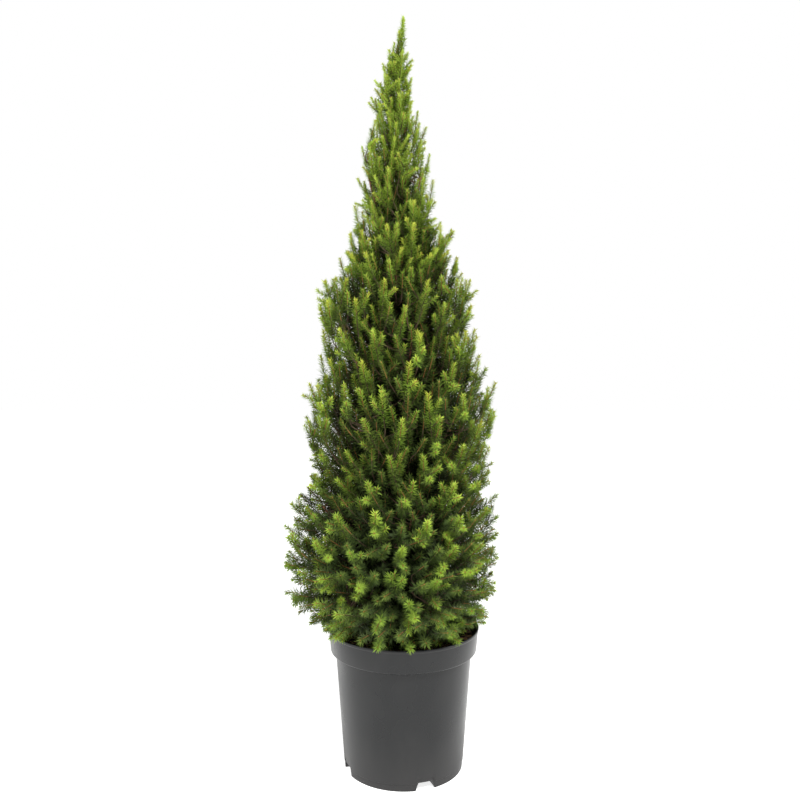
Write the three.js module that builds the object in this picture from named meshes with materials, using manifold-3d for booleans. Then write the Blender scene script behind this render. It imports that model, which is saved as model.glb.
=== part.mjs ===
// A dwarf alberta spruce in a round plastic nursery pot. Millimetres, +Z up.
// The origin is the middle of the pot's flat underside, and the front of the plant faces -Y.
//
// A place in the crown is told by its turn (the angle round the upright axis, in degrees, 0 at the
// front and 90 at +X), its distance from that axis and its height.

import * as THREE from "three";
import { mergeVertices } from "three/addons/utils/BufferGeometryUtils.js";
import Module from "manifold-3d";

const wasm = await Module();
wasm.setup();

// ---------------------------------------------------------------- driving dimensions

const GAP = 0.3; // between two sub-parts that touch

const POT = {
  height: 200,
  footRadius: 83.1,
  footSpread: 0.5, // how far the foot widens up to the faint step round it
  stepHeight: 9.5,
  stepOut: 0.7,
  waistRadius: 95.2, // the wall's top, under the collar's ledge
  collarRadius: 102.5,
  collarHeight: 31.4,
  ledgeDrop: 4, // how far the ledge slopes, its rounded edge, and its rise for each mm of inset
  ledgeEdge: 1.1,
  ledgeSlope: 0.5,
  rimRadius: 105.6,
  lipHeight: 3.4,
  lipOut: 0.8,
  wall: 2,
  floor: 3,
  sides: 32,
};

const DRAIN = {
  count: 4,
  firstTurn: 20.5,
  width: 27, // of the notch at the ground
  topWidth: 21,
  height: 11,
  innerRadius: 58,
  skin: 2, // thickness of the raised floor over the notch
  holeRadius: 5,
  holeSides: 12,
  inWall: 0.5, // how far up inside the floor and the wall the raised floor runs
  wallLean: 1.5, // how much wider the wall is at the height inHeight
  inHeight: 20,
  underfoot: 0.01, // how far the notch is cut below the pot's underside
};

const SOIL = { height: 182, crownHeight: 184, crownRadius: 62, gap: 0.5 };

const TRUNK = {
  tip: 884,
  footRadius: 9.4,
  tipRadius: 2.1,
  leaderRadius: 0.7, // at the very top of the plant
  flare: 5.2, // how far the root flare widens the foot
  flareHeight: 15,
  lobes: 5, // of the root flare, and their depth
  lobeDepth: 0.16,
  taper: 0.8, // below 1 it thins sooner
  crowding: 1.6, // above 1 its rings crowd towards the foot
  lean: -9, // where the tip stands, in X
  bow: -5, // how far the middle bends away, in X
  bowDepth: 3, // and in Y
  sides: 10,
  steps: 13,
  checks: 180, // places along it that foliage is kept clear of
};

const CROWN = {
  axis: -9, // X of the upright axis that sectors and cones are set out from
  tip: 1033,
  seed: 300, // of its first bough, and how much higher each tier's first one is
  seedStep: 10,
  tiltLow: 106, // how far shoots lean from upright at the crown's foot, in degrees
  tiltTop: 8,
  tiltEase: 5, // above 1 the lean is mostly lost in the lower crown
};

// The crown's outline from its foot to its tip: height, radius and how far its middle stands off in X.
const OUTLINE = [
  { height: 188, radius: 106, middle: -4 },
  { height: 240, radius: 150, middle: -15 },
  { height: 350, radius: 152, middle: -16 },
  { height: 428, radius: 126, middle: -4 },
  { height: 515, radius: 138, middle: -4 },
  { height: 590, radius: 112, middle: -3 },
  { height: 665, radius: 110, middle: -10 },
  { height: 728, radius: 76, middle: -4 },
  { height: 800, radius: 53, middle: -12 },
  { height: 900, radius: 43, middle: -11 },
  { height: 945, radius: 24, middle: -13 },
  { height: 1033, radius: 3, middle: -1 },
];

// The tiers from the crown's foot up, each a ring of boughs and their masses. A cone parts each tier
// from the one below: it meets the crown's outline at the height low, and rises outward by rise for
// each mm of radius. The boughs leave the trunk from leave on up, the first at the angle turn, and the
// sprays of a mass stand in columns and rows.
const TIERS = [
  { name: "a", boughs: 6, turn: -90, leave: 204, low: 190, rise: 0, columns: 3, rows: 3 },
  { name: "b", boughs: 5, turn: -60, leave: 296, low: 322, rise: 0.23, columns: 3, rows: 3 },
  { name: "c", boughs: 5, turn: -100, leave: 384, low: 438, rise: 0.5, columns: 3, rows: 3 },
  { name: "d", boughs: 4, turn: -80, leave: 458, low: 556, rise: 0.85, columns: 3, rows: 3 },
  { name: "e", boughs: 4, turn: -95, leave: 560, low: 662, rise: 1.15, columns: 3, rows: 3 },
  { name: "f", boughs: 3, turn: -60, leave: 700, low: 762, rise: 1.35, columns: 2, rows: 3 },
];
const TOP = { name: "g", low: 874, rise: 1.5, columns: 3, rows: 5 };

const BOUGH = {
  reach: 0.78, // where its line ends, as a share of the crown's radius
  enter: 0.38, // where the line enters its mass
  rootShare: 0.5, // of the trunk's radius where it leaves
  tipRadius: 1, // and how much of the root's radius comes on top
  tipShare: 0.2,
  sag: 0.16, // how far the line hangs under a straight one, as a share of its length
  stagger: 36, // the height over which the boughs of one tier leave the trunk
  sides: 5,
  steps: 3,
};

const SPRAY = {
  length: 62,
  topLength: 50,
  radius: 16,
  topRadius: 9,
  cuts: [1, 0.85, 0.7, 0.5], // the shares of its length that are tried until one fits
  thinning: 1.5, // how late on the way up its radius shrinks to topRadius
  apart: 16.5, // least distance between two tips of a mass, and its growth with the crown's radius
  apartGrowth: 0.145,
  rootRadius: 2,
  twigRadius: 1.3,
  turn: 75, // of each ring of teeth from the one before, in degrees
  forward: 0.6, // where a twig leaves its stem, behind its spray by this share of the distance
  bend: 0.4, // how far back the twig's bend lies, as a share of its length
  clearFrom: 0.1, // the share of the twig after which it must be clear of everything
  clearSteps: 12,
  sides: 3,
};

// How unevenly the sprays of a mass stand: every other row is shifted, and each spray strays by up to
// half of a share of its column, its row, its reach to the outline and its length.
const SPREAD = {
  shift: 0.2,
  column: 0.3,
  row: 0.35,
  reach: 0.97,
  reachStray: 0.05,
  leastLength: 0.85,
  lengthStray: 0.3,
};

// The rings of a spray: how far along it they stand, and their share of its radius.
const TEETH = [
  { along: 0.38, share: 0.9 },
  { along: 0.56, share: 0.4 },
  { along: 0.72, share: 0.85 },
];

// A mass's stem: the steps it is measured in, every how many of them its tube has a ring, and how
// many at its foot carry no twig.
const STEM = { steps: 24, stride: 12, sides: 4, bare: 2 };

// The core of a dense mass: its inner and outer face as shares of the crown's radius, how far it keeps
// from its space's walls and from the pot, how far its corners and its outer face are worn down, the
// rounds in which its height settles, and its faces across and up.
const CORE = {
  inner: 0.45,
  outer: 0.76,
  margin: 1.4,
  overPot: 5,
  round: 0.1,
  roughness: 0.12,
  rounds: 12,
  across: 3,
  high: 2,
};

// The linear congruential generator that every chance comes from.
const CHANCE = { spread: 2654435761, factor: 1664525, step: 1013904223, range: 2 ** 32 };

const MATERIALS = {
  pot: { color: "#4a4a48", roughness: 0.5, metalness: 0 },
  soil: { color: "#2a2119", roughness: 0.95, metalness: 0 },
  bark: { color: "#6f4e33", roughness: 0.85, metalness: 0 },
  bough: { color: "#8a5c35", roughness: 0.8, metalness: 0 },
  needles: { color: "#5f7a35", roughness: 0.6, metalness: 0 },
};

// ---------------------------------------------------------------- numbers and places

const UP = new THREE.Vector3(0, 0, 1);
const radians = THREE.MathUtils.degToRad;
const lerp = THREE.MathUtils.lerp;

// A seeded generator of numbers from 0 to 1.
function makeRandom(seed) {
  let state = (seed * CHANCE.spread) >>> 0;
  return () => {
    state = (Math.imul(state, CHANCE.factor) + CHANCE.step) >>> 0;
    return state / CHANCE.range;
  };
}

const outward = (turn) => new THREE.Vector3(Math.sin(radians(turn)), -Math.cos(radians(turn)), 0);
const sideward = (turn) => outward(turn + 90);

// One of the outline's sizes at a height, eased from station to station.
function outlineAt(height, size) {
  const last = OUTLINE.length - 1;
  const above = OUTLINE.findIndex((station) => station.height >= height);
  if (above === 0) return OUTLINE[0][size];
  if (above < 0) return OUTLINE[last][size];
  const [from, to] = [OUTLINE[above - 1], OUTLINE[above]];
  const share = THREE.MathUtils.smoothstep(height, from.height, to.height);
  return lerp(from[size], to[size], share);
}

// The place on the crown's outline, or a share of the way out to it.
function crownPlace(turn, height, share = 1) {
  const middle = new THREE.Vector3(outlineAt(height, "middle"), 0, height);
  return middle.addScaledVector(outward(turn), outlineAt(height, "radius") * share);
}

// The way a shoot grows there: nearly flat at the crown's foot, nearly upright at its top.
function shootWay(turn, height) {
  const from = OUTLINE[0].height;
  const under = 1 - THREE.MathUtils.clamp((height - from) / (CROWN.tip - from), 0, 1);
  const tilt = radians(CROWN.tiltTop + (CROWN.tiltLow - CROWN.tiltTop) * under ** CROWN.tiltEase);
  return outward(turn).multiplyScalar(Math.sin(tilt)).addScaledVector(UP, Math.cos(tilt));
}

// The cone under a tier: its height on the axis and its rise.
function coneUnder({ low, rise }) {
  return { foot: low - rise * outlineAt(low, "radius"), rise, slant: Math.hypot(1, rise) };
}

const coneHeight = (cone, radius) => cone.foot + cone.rise * radius;

// ---------------------------------------------------------------- solids

// A geometry as a solid, with its shared corners merged and its flat triangles left out.
function toSolid(geometry) {
  const bare = new THREE.BufferGeometry();
  bare.setAttribute("position", geometry.getAttribute("position"));
  bare.setIndex(geometry.getIndex());
  const merged = mergeVertices(bare);
  const corners = merged.getIndex().array;
  const triangles = [];
  for (let i = 0; i < corners.length; i += 3) {
    const [a, b, c] = corners.slice(i, i + 3);
    if (a !== b && b !== c && c !== a) triangles.push(a, b, c);
  }
  return new wasm.Manifold(
    new wasm.Mesh({
      numProp: 3,
      vertProperties: new Float32Array(merged.getAttribute("position").array),
      triVerts: new Uint32Array(triangles),
    }),
  );
}

function toGeometry(solid) {
  const mesh = solid.getMesh();
  const geometry = new THREE.BufferGeometry();
  geometry.setAttribute("position", new THREE.BufferAttribute(mesh.vertProperties, 3));
  geometry.setIndex(new THREE.BufferAttribute(mesh.triVerts, 1));
  geometry.computeVertexNormals();
  return geometry;
}

// The largest body of a solid: a loose scrap is dropped and a sealed hollow filled.
function largestBody(solid) {
  return solid.decompose().reduce((a, b) => (b.volume() > a.volume() ? b : a));
}

// A round solid about Z, from its profile of [radius, height] points that starts and ends on the axis.
function turned(profile, sides) {
  const points = profile.map(([radius, height]) => new THREE.Vector2(radius, height));
  return new THREE.LatheGeometry(points, sides).rotateX(Math.PI / 2);
}

// A closed tube through rings, each with its middle, its way along, its radius and its turn.
function tube(rings, sides, lobe = () => 1) {
  const steps = rings.length - 1;
  const geometry = new THREE.CylinderGeometry(1, 1, 1, sides, steps);
  const chord = rings[steps].middle.clone().sub(rings[0].middle);
  const level = Math.abs(chord.x) + Math.abs(chord.y) > 1e-3 * chord.length();
  const reference = level ? chord.clone().cross(UP).normalize() : new THREE.Vector3(1, 0, 0);
  const frames = rings.map(({ way }) => {
    const side = reference.clone().addScaledVector(way, -reference.dot(way)).normalize();
    return { side, up: side.clone().cross(way) };
  });
  const position = geometry.getAttribute("position");
  for (let i = 0; i < position.count; i++) {
    const place = Math.round((position.getY(i) + 0.5) * steps);
    const { middle, radius, turn = 0 } = rings[place];
    const angle = Math.atan2(position.getZ(i), position.getX(i)) + radians(turn);
    const size = Math.hypot(position.getX(i), position.getZ(i)) * radius * lobe(angle, place);
    const point = middle
      .clone()
      .addScaledVector(frames[place].side, size * Math.cos(angle))
      .addScaledVector(frames[place].up, size * Math.sin(angle));
    position.setXYZ(i, point.x, point.y, point.z);
  }
  return geometry;
}

// Rings along a stretch of a curve, tapering from one radius to another.
function ringsAlong(curve, [from, to], [thick, thin], steps) {
  return Array.from({ length: steps + 1 }, (_, step) => {
    const at = lerp(from, to, step / steps);
    const radius = lerp(thick, thin, step / steps);
    return { middle: curve.getPointAt(at), way: curve.getTangentAt(at), radius };
  });
}

// ---------------------------------------------------------------- pot and soil

// The bend of the wall into its collar: its outside, or its inside when moved in by an inset.
function ledgeProfile(inset) {
  const ledge = POT.height - POT.collarHeight;
  const lift = inset * POT.ledgeSlope;
  return [
    [POT.waistRadius - inset, ledge - POT.ledgeDrop],
    [POT.collarRadius - POT.ledgeEdge - inset, ledge - POT.ledgeEdge + lift],
    [POT.collarRadius - inset, ledge + lift],
  ];
}

// A wedge-ended block that runs in from the wall under the floor, widened by a margin all round.
function drainBlock(turn, margin) {
  const [wide, narrow] = [DRAIN.width / 2 + margin, DRAIN.topWidth / 2 + margin];
  const section = new THREE.Shape([
    new THREE.Vector2(-wide, -margin),
    new THREE.Vector2(wide, -margin),
    new THREE.Vector2(narrow, DRAIN.height + margin),
    new THREE.Vector2(-narrow, DRAIN.height + margin),
  ]);
  const depth = POT.waistRadius - DRAIN.innerRadius + margin;
  const block = new THREE.ExtrudeGeometry(section, { depth, bevelEnabled: false });
  block.translate(0, 0, DRAIN.innerRadius - margin);
  return block.rotateX(Math.PI / 2).rotateZ(radians(turn));
}

function drainHole(turn) {
  const { holeRadius, height, holeSides } = DRAIN;
  const hole = new THREE.CylinderGeometry(holeRadius, holeRadius, height * 2, holeSides);
  const middle = (DRAIN.innerRadius + POT.footRadius) / 2;
  return hole.rotateX(Math.PI / 2).translate(0, -middle, height).rotateZ(radians(turn));
}

const drainTurns = Array.from({ length: DRAIN.count }, (_, i) => DRAIN.firstTurn + (i * 360) / DRAIN.count);

function makePot() {
  const foot = POT.footRadius + POT.footSpread;
  const inner = foot - POT.wall;
  const outline = [
    [0, 0],
    [POT.footRadius, 0],
    [foot, POT.stepHeight],
    [foot + POT.stepOut, POT.stepHeight + POT.stepOut],
    ...ledgeProfile(0),
    [POT.rimRadius - POT.lipOut, POT.height - POT.lipHeight - POT.lipOut],
    [POT.rimRadius, POT.height - POT.lipHeight],
    [POT.rimRadius - POT.lipOut / 2, POT.height],
    [POT.rimRadius - POT.wall, POT.height],
    ...ledgeProfile(POT.wall).reverse(),
    [inner, POT.floor],
    [0, POT.floor],
  ];
  // A raised floor over each drain notch is kept inside the wall, and the notch is cut under it.
  const wall = [
    [0, DRAIN.inWall],
    [inner, DRAIN.inWall],
    [inner + DRAIN.wallLean, DRAIN.inHeight],
    [0, DRAIN.inHeight],
  ];
  const within = toSolid(turned(wall, POT.sides));
  let pot = toSolid(turned(outline, POT.sides));
  for (const turn of drainTurns) pot = pot.add(toSolid(drainBlock(turn, DRAIN.skin)).intersect(within));
  for (const turn of drainTurns) {
    pot = pot.subtract(toSolid(drainBlock(turn, 0).translate(0, 0, -DRAIN.underfoot)));
    pot = pot.subtract(toSolid(drainHole(turn)));
  }
  return toGeometry(largestBody(pot));
}

function makeSoil() {
  const clear = POT.wall + SOIL.gap;
  const outline = [
    [0, POT.floor + GAP],
    [POT.footRadius + POT.footSpread - clear, POT.floor + GAP],
    ...ledgeProfile(clear),
    [POT.collarRadius - clear + POT.lipOut, SOIL.height],
    [SOIL.crownRadius, SOIL.crownHeight],
    [0, SOIL.crownHeight],
  ];
  let soil = toSolid(turned(outline, POT.sides));
  for (const turn of drainTurns) soil = soil.subtract(toSolid(drainBlock(turn, DRAIN.skin + GAP)));
  return toGeometry(largestBody(soil));
}

// ---------------------------------------------------------------- trunk and boughs

const trunkFoot = SOIL.crownHeight + GAP;

// The middle of the trunk at a height: it leans and bows a little.
function trunkMiddle(height) {
  const share = THREE.MathUtils.clamp((height - trunkFoot) / (TRUNK.tip - trunkFoot), 0, 1);
  const bend = Math.sin(Math.PI * share);
  return new THREE.Vector3(TRUNK.lean * share + TRUNK.bow * bend, TRUNK.bowDepth * bend, height);
}

function trunkRadius(height) {
  const share = THREE.MathUtils.clamp((height - trunkFoot) / (TRUNK.tip - trunkFoot), 0, 1);
  const flare = TRUNK.flare * Math.exp(-(height - trunkFoot) / TRUNK.flareHeight);
  return lerp(TRUNK.footRadius, TRUNK.tipRadius, share ** TRUNK.taper) + flare;
}

// The trunk's solid, grown by a margin. Its rings stand closer together in the root flare.
function trunkTube(margin) {
  const heights = Array.from({ length: TRUNK.steps + 1 }, (_, step) =>
    lerp(trunkFoot, TRUNK.tip, (step / TRUNK.steps) ** TRUNK.crowding),
  );
  const rings = heights.map((height) => ({
    middle: trunkMiddle(height),
    way: UP,
    radius: trunkRadius(height) + margin,
  }));
  const rib = (angle, step) => {
    const depth = TRUNK.lobeDepth * Math.exp(-(heights[step] - trunkFoot) / TRUNK.flareHeight);
    return 1 + depth * Math.cos(TRUNK.lobes * angle);
  };
  return tube(rings, TRUNK.sides, rib);
}

// The line of a bough and of the stem that goes on from it: out and up from inside the trunk.
function boughLine(turn, leave, height) {
  const root = trunkMiddle(leave);
  const tip = crownPlace(turn, height, BOUGH.reach);
  const bend = root.clone().lerp(tip, 0.5);
  bend.z -= BOUGH.sag * root.distanceTo(tip);
  return new THREE.QuadraticBezierCurve3(root, bend, tip);
}

function makeBough(line, radii, cleared) {
  const rings = ringsAlong(line, [0, BOUGH.enter], radii, BOUGH.steps);
  return toGeometry(largestBody(toSolid(tube(rings, BOUGH.sides)).subtract(cleared)));
}

// ---------------------------------------------------------------- masses of foliage

// The space of one mass: a sector of its tier, between two cones, clear of the pot and of the limbs.
// A ball fits when it is wholly inside.
function makeSpace({ turn, width, under, over, limbs }) {
  const walls = width < 360 ? [turn - width / 2, turn + width / 2] : [];
  const inward = walls.map((wall, i) => sideward(wall).multiplyScalar(i === 0 ? 1 : -1));
  return (point, ball) => {
    const margin = ball + GAP;
    const flat = new THREE.Vector3(point.x - CROWN.axis, point.y, 0);
    const radius = flat.length();
    const overPot = Math.hypot(point.x, point.y) < POT.rimRadius + margin ? POT.height : 0;
    return (
      inward.every((way) => flat.dot(way) >= margin) &&
      (point.z - coneHeight(under, radius)) / under.slant >= margin &&
      (coneHeight(over, radius) - point.z) / over.slant >= margin &&
      point.z >= overPot + margin &&
      limbs.every((limb) => limb.every((ring) => ring.middle.distanceTo(point) >= ring.radius + margin))
    );
  };
}

// The rings of one spray: a few rings of teeth about its line, to a point.
function sprayRings(root, way, length, radius, firstTurn) {
  const teeth = TEETH.map(({ along, share }, i) => {
    return { along, size: share * radius, turn: SPRAY.turn * (i + 1) };
  });
  const ends = [
    { along: 0, size: SPRAY.rootRadius, turn: 0 },
    ...teeth,
    { along: 1, size: 0, turn: 0 },
  ];
  return ends.map(({ along, size, turn }) => ({
    middle: root.clone().addScaledVector(way, length * along),
    way,
    radius: size,
    turn: firstTurn + turn,
  }));
}

// One spray with the twig that carries it from the stem, or nothing where no length of it fits.
function makeSpray(target, stem, fits, firstTurn) {
  for (const share of SPRAY.cuts) {
    const length = target.length * share;
    const radius = target.radius * Math.sqrt(share);
    const root = target.tip.clone().addScaledVector(target.way, -length);
    const spray = sprayRings(root, target.way, length, radius, firstTurn);
    if (!spray.every((ring) => fits(ring.middle, ring.radius))) continue;
    const near = stem.reduce((a, b) => (b.middle.distanceTo(root) < a.middle.distanceTo(root) ? b : a));
    const back = SPRAY.forward * near.middle.distanceTo(root);
    const from = stem.find((ring) => ring.middle.distanceTo(near.middle) <= back) ?? near;
    const bend = root.clone().addScaledVector(target.way, -SPRAY.bend * from.middle.distanceTo(root));
    const twig = new THREE.QuadraticBezierCurve3(from.middle, bend, root);
    const thickness = [SPRAY.twigRadius, SPRAY.twigRadius];
    const checked = ringsAlong(twig, [SPRAY.clearFrom, 1], thickness, SPRAY.clearSteps);
    if (!checked.every((ring) => fits(ring.middle, ring.radius))) continue;
    const [start] = ringsAlong(twig, [0, 1], thickness, 1);
    return tube([{ ...start, turn: firstTurn }, ...spray], SPRAY.sides);
  }
  return null;
}

// Where the sprays of a mass end: spread over its part of the crown's outline, a little uneven.
function sprayTargets({ turn, width, low, high, columns, rows }, random) {
  const targets = [];
  const stray = (most) => most * (random() - 0.5);
  for (let row = 0; row < rows; row++) {
    for (let column = 0; column < columns; column++) {
      const shift = (row % 2 ? SPREAD.shift : -SPREAD.shift) + stray(SPREAD.column);
      const way = turn + width * ((column + 0.5 + shift) / columns - 0.5);
      const height = lerp(low, high, (row + 0.5 + stray(SPREAD.row)) / rows);
      const upper = (height - OUTLINE[0].height) / (CROWN.tip - OUTLINE[0].height);
      const length = lerp(SPRAY.length, SPRAY.topLength, upper);
      targets.push({
        tip: crownPlace(way, height, SPREAD.reach + stray(SPREAD.reachStray)),
        way: shootWay(way, height),
        length: length * (SPREAD.leastLength + SPREAD.lengthStray * random()),
        radius: lerp(SPRAY.radius, SPRAY.topRadius, upper ** SPRAY.thinning),
      });
    }
  }
  return targets;
}

// A rough lump that fills the inner part of a dense mass, set out within the mass's own space:
// a box whose sides follow the space's walls, cones and outline.
function makeCore({ turn, width, under, over }, random) {
  const lump = new THREE.BoxGeometry(2, 2, 2, CORE.across, 1, CORE.high);
  const solid = mergeVertices(lump.deleteAttribute("normal").deleteAttribute("uv"));
  const position = solid.getAttribute("position");
  for (let i = 0; i < position.count; i++) {
    const corner = new THREE.Vector3().fromBufferAttribute(position, i);
    const [x, y, z] = corner.multiplyScalar(lerp(1, 1 / corner.length(), CORE.round));
    const outer = CORE.outer * (1 - CORE.roughness * random());
    const share = lerp(outer, CORE.inner, 0.5 + 0.5 * y);
    let [radius, height] = [0, 0];
    for (let round = 0; round < CORE.rounds; round++) {
      const low = coneHeight(under, radius) + CORE.margin * under.slant;
      const high = coneHeight(over, radius) - CORE.margin * over.slant;
      height = Math.max(lerp(low, high, 0.5 + 0.5 * z), POT.height + CORE.overPot);
      radius = share * outlineAt(height, "radius");
    }
    const wall = width / 2 - THREE.MathUtils.radToDeg(CORE.margin / radius);
    const point = new THREE.Vector3(CROWN.axis, 0, height).addScaledVector(outward(turn + wall * x), radius);
    position.setXYZ(i, point.x, point.y, point.z);
  }
  return solid;
}

// One mass: its stem, the sprays that its twigs carry and, in a dense mass, a core.
function makeMass(mass, stemRings, fits, random) {
  const stemTube = tube(stemRings.filter((_, i) => i % STEM.stride === 0), STEM.sides);
  const solids = [toSolid(stemTube)];
  const placed = [];
  for (const target of sprayTargets(mass, random)) {
    const turn = 360 * random();
    const apart = SPRAY.apart + SPRAY.apartGrowth * outlineAt(target.tip.z, "radius");
    if (placed.some((tip) => tip.distanceTo(target.tip) < apart)) continue;
    const spray = makeSpray(target, stemRings.slice(STEM.bare), fits, turn);
    if (!spray) continue;
    solids.push(toSolid(spray));
    placed.push(target.tip);
  }
  if (mass.core) solids.push(toSolid(makeCore(mass, random)));
  return toGeometry(largestBody(wasm.Manifold.union(solids)));
}

// ---------------------------------------------------------------- the plant

const plant = new THREE.Group();

function addPart(name, geometry, look) {
  const mesh = new THREE.Mesh(geometry, new THREE.MeshStandardMaterial(MATERIALS[look]));
  mesh.name = name;
  plant.add(mesh);
}

addPart("pot", makePot(), "pot");
addPart("soil", makeSoil(), "soil");
addPart("trunk", trunkTube(0), "bark");

const cleared = toSolid(trunkTube(GAP));
const trunkRings = Array.from({ length: TRUNK.checks + 1 }, (_, i) => {
  const height = lerp(trunkFoot, TRUNK.tip, i / TRUNK.checks);
  return { middle: trunkMiddle(height), radius: trunkRadius(height) };
});

TIERS.forEach((tier, level) => {
  const above = TIERS[level + 1] ?? TOP;
  const width = 360 / tier.boughs;
  const space = { width, under: coneUnder(tier), over: coneUnder(above) };
  for (let i = 0; i < tier.boughs; i++) {
    const random = makeRandom(CROWN.seed + CROWN.seedStep * level + i);
    const turn = tier.turn + width * i;
    const leave = tier.leave + (BOUGH.stagger * ((2 * i) % tier.boughs)) / tier.boughs;
    const line = boughLine(turn, leave, lerp(tier.low, above.low, 0.5));
    const rootRadius = BOUGH.rootShare * trunkRadius(leave);
    const tipRadius = BOUGH.tipRadius + BOUGH.tipShare * rootRadius;
    const radii = [rootRadius, tipRadius];
    addPart(`bough_${tier.name}${i + 1}`, makeBough(line, radii, cleared), "bough");

    const start = BOUGH.enter + GAP / line.getLength();
    const stem = ringsAlong(line, [start, 1], [tipRadius, SPRAY.twigRadius], STEM.steps);
    const boughRings = ringsAlong(line, [0, BOUGH.enter], radii, STEM.steps);
    const fits = makeSpace({ ...space, turn, limbs: [trunkRings, boughRings] });
    const mass = { ...tier, ...space, turn, high: above.low, core: true };
    addPart(`foliage_${tier.name}${i + 1}`, makeMass(mass, stem, fits, random), "needles");
  }
});

// The leader: the trunk's last shoot, with its own sprays round it and no core.
const leaderFoot = trunkMiddle(TRUNK.tip).addScaledVector(UP, GAP);
const leader = new THREE.LineCurve3(leaderFoot, crownPlace(0, CROWN.tip, 0));
const leaderRings = ringsAlong(leader, [0, 1], [TRUNK.tipRadius, TRUNK.leaderRadius], STEM.steps);
const topSpace = { turn: 0, width: 360, under: coneUnder(TOP), over: { foot: CROWN.tip, rise: 0, slant: 1 } };
const topFits = makeSpace({ ...topSpace, limbs: [trunkRings] });
const topMass = { ...TOP, ...topSpace, high: CROWN.tip, core: false };
const topRandom = makeRandom(CROWN.seed + CROWN.seedStep * TIERS.length);
addPart("foliage_g1", makeMass(topMass, leaderRings, topFits, topRandom), "needles");

export default plant;
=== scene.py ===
"""A dwarf alberta spruce in a round nursery pot: its needles, twigs, bark, soil and moulded pot.

The frame's solids give every place and size. The limbs and the foliage grow here by the same seeded rule
as the solids do, in millimetres, carried on to finer twigs, and every mesh is written in metres.
"""

import logging
import math
from dataclasses import dataclass, field
from enum import Enum

import bpy
import numpy as np
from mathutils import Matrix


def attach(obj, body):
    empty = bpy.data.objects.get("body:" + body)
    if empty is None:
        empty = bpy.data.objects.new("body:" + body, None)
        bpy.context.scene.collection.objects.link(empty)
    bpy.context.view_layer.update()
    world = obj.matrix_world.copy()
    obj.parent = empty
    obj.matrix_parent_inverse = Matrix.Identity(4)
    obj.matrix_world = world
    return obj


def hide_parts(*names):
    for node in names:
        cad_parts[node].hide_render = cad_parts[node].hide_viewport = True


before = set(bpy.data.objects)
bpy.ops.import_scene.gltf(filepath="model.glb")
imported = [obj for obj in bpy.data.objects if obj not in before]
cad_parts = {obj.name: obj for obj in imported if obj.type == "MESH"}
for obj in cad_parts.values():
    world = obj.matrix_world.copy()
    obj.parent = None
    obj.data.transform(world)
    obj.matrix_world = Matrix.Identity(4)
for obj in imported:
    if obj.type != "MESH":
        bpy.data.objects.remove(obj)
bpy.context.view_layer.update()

LOG = logging.getLogger("spruce")
MM = 0.001  # metres in a millimetre
UP = np.array([0.0, 0.0, 1.0])
GOLDEN = math.pi * (3 - math.sqrt(5))  # the turn from one needle to the next round a shoot
GAP = 0.3  # clear space between two limbs of the source, in millimetres


# ---------------------------------------------------------------- colours and nodes


def linear(tint: str, alpha: float = 1.0) -> tuple[float, float, float, float]:
    """Turn an sRGB hex colour into a linear one.

    Args:
        tint: the colour as "#rrggbb".
        alpha: its opacity.

    Returns:
        Red, green, blue and alpha, linear.
    """
    parts = [int(tint[i : i + 2], 16) / 255 for i in (1, 3, 5)]
    red, green, blue = (p / 12.92 if p <= 0.04045 else ((p + 0.055) / 1.055) ** 2.4 for p in parts)
    return red, green, blue, alpha


def add_node(
    material: bpy.types.Material, kind: str, settings: dict = {}, links: dict = {}
) -> bpy.types.Node:
    """Add a node to a material.

    Args:
        material: the material that gets it.
        kind: the node's type name without its ShaderNode prefix.
        settings: values of its properties, or of its inputs by name or number.
        links: for an input by name or number, the output socket that feeds it.

    Returns:
        The new node.
    """
    node = material.node_tree.nodes.new("ShaderNode" + kind)
    for key, value in settings.items():
        if isinstance(key, str) and hasattr(node, key):
            setattr(node, key, value)
        else:
            node.inputs[key].default_value = value
    for key, output in links.items():
        material.node_tree.links.new(output, node.inputs[key])
    return node


def new_material(name: str, **settings: object) -> tuple[bpy.types.Material, bpy.types.Node]:
    """Make a material with one Principled shader.

    Args:
        name: what the material really is.
        settings: values of the shader's inputs, with _ for a space in a name.

    Returns:
        The material and its shader node.
    """
    material = bpy.data.materials.new(name)
    material.use_nodes = True
    shader = material.node_tree.nodes["Principled BSDF"]
    for key, value in settings.items():
        shader.inputs[key.replace("_", " ")].default_value = value
    return material, shader


def noise(
    material: bpy.types.Material, place: bpy.types.NodeSocket, scale: float, detail: float, rough: float = 0.5
) -> bpy.types.NodeSocket:
    """Give a fractal noise at a place.

    Args:
        material: the material that gets it.
        place: the output that gives the place.
        scale: how many waves it has in a metre.
        detail: how many finer layers it has.
        rough: how strong each finer layer is beside the one before.

    Returns:
        Its value, from 0 to 1.
    """
    settings = {"Scale": scale, "Detail": detail, "Roughness": rough}
    return add_node(material, "TexNoise", settings, {"Vector": place}).outputs["Fac"]


def multiplied(
    material: bpy.types.Material, one: bpy.types.NodeSocket, other: bpy.types.NodeSocket
) -> bpy.types.NodeSocket:
    """Multiply two outputs."""
    return add_node(material, "Math", {"operation": "MULTIPLY"}, {0: one, 1: other}).outputs[0]


def remapped(
    material: bpy.types.Material, value: bpy.types.NodeSocket, **ends: float
) -> bpy.types.NodeSocket:
    """Move a value from one range to another.

    Args:
        material: the material that gets the node.
        value: the output to move.
        ends: values of the Map Range node's inputs, with _ for a space in a name.

    Returns:
        The moved value.
    """
    settings = {key.replace("_", " "): end for key, end in ends.items()}
    return add_node(material, "MapRange", settings, {"Value": value}).outputs[0]


def stretched(
    material: bpy.types.Material, place: bpy.types.NodeSocket, tall: float
) -> bpy.types.NodeSocket:
    """Scale a place's height, so that below 1 what is laid on it is drawn out upward."""
    return add_node(material, "Mapping", {"Scale": (1.0, 1.0, tall)}, {"Vector": place}).outputs[0]


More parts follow.
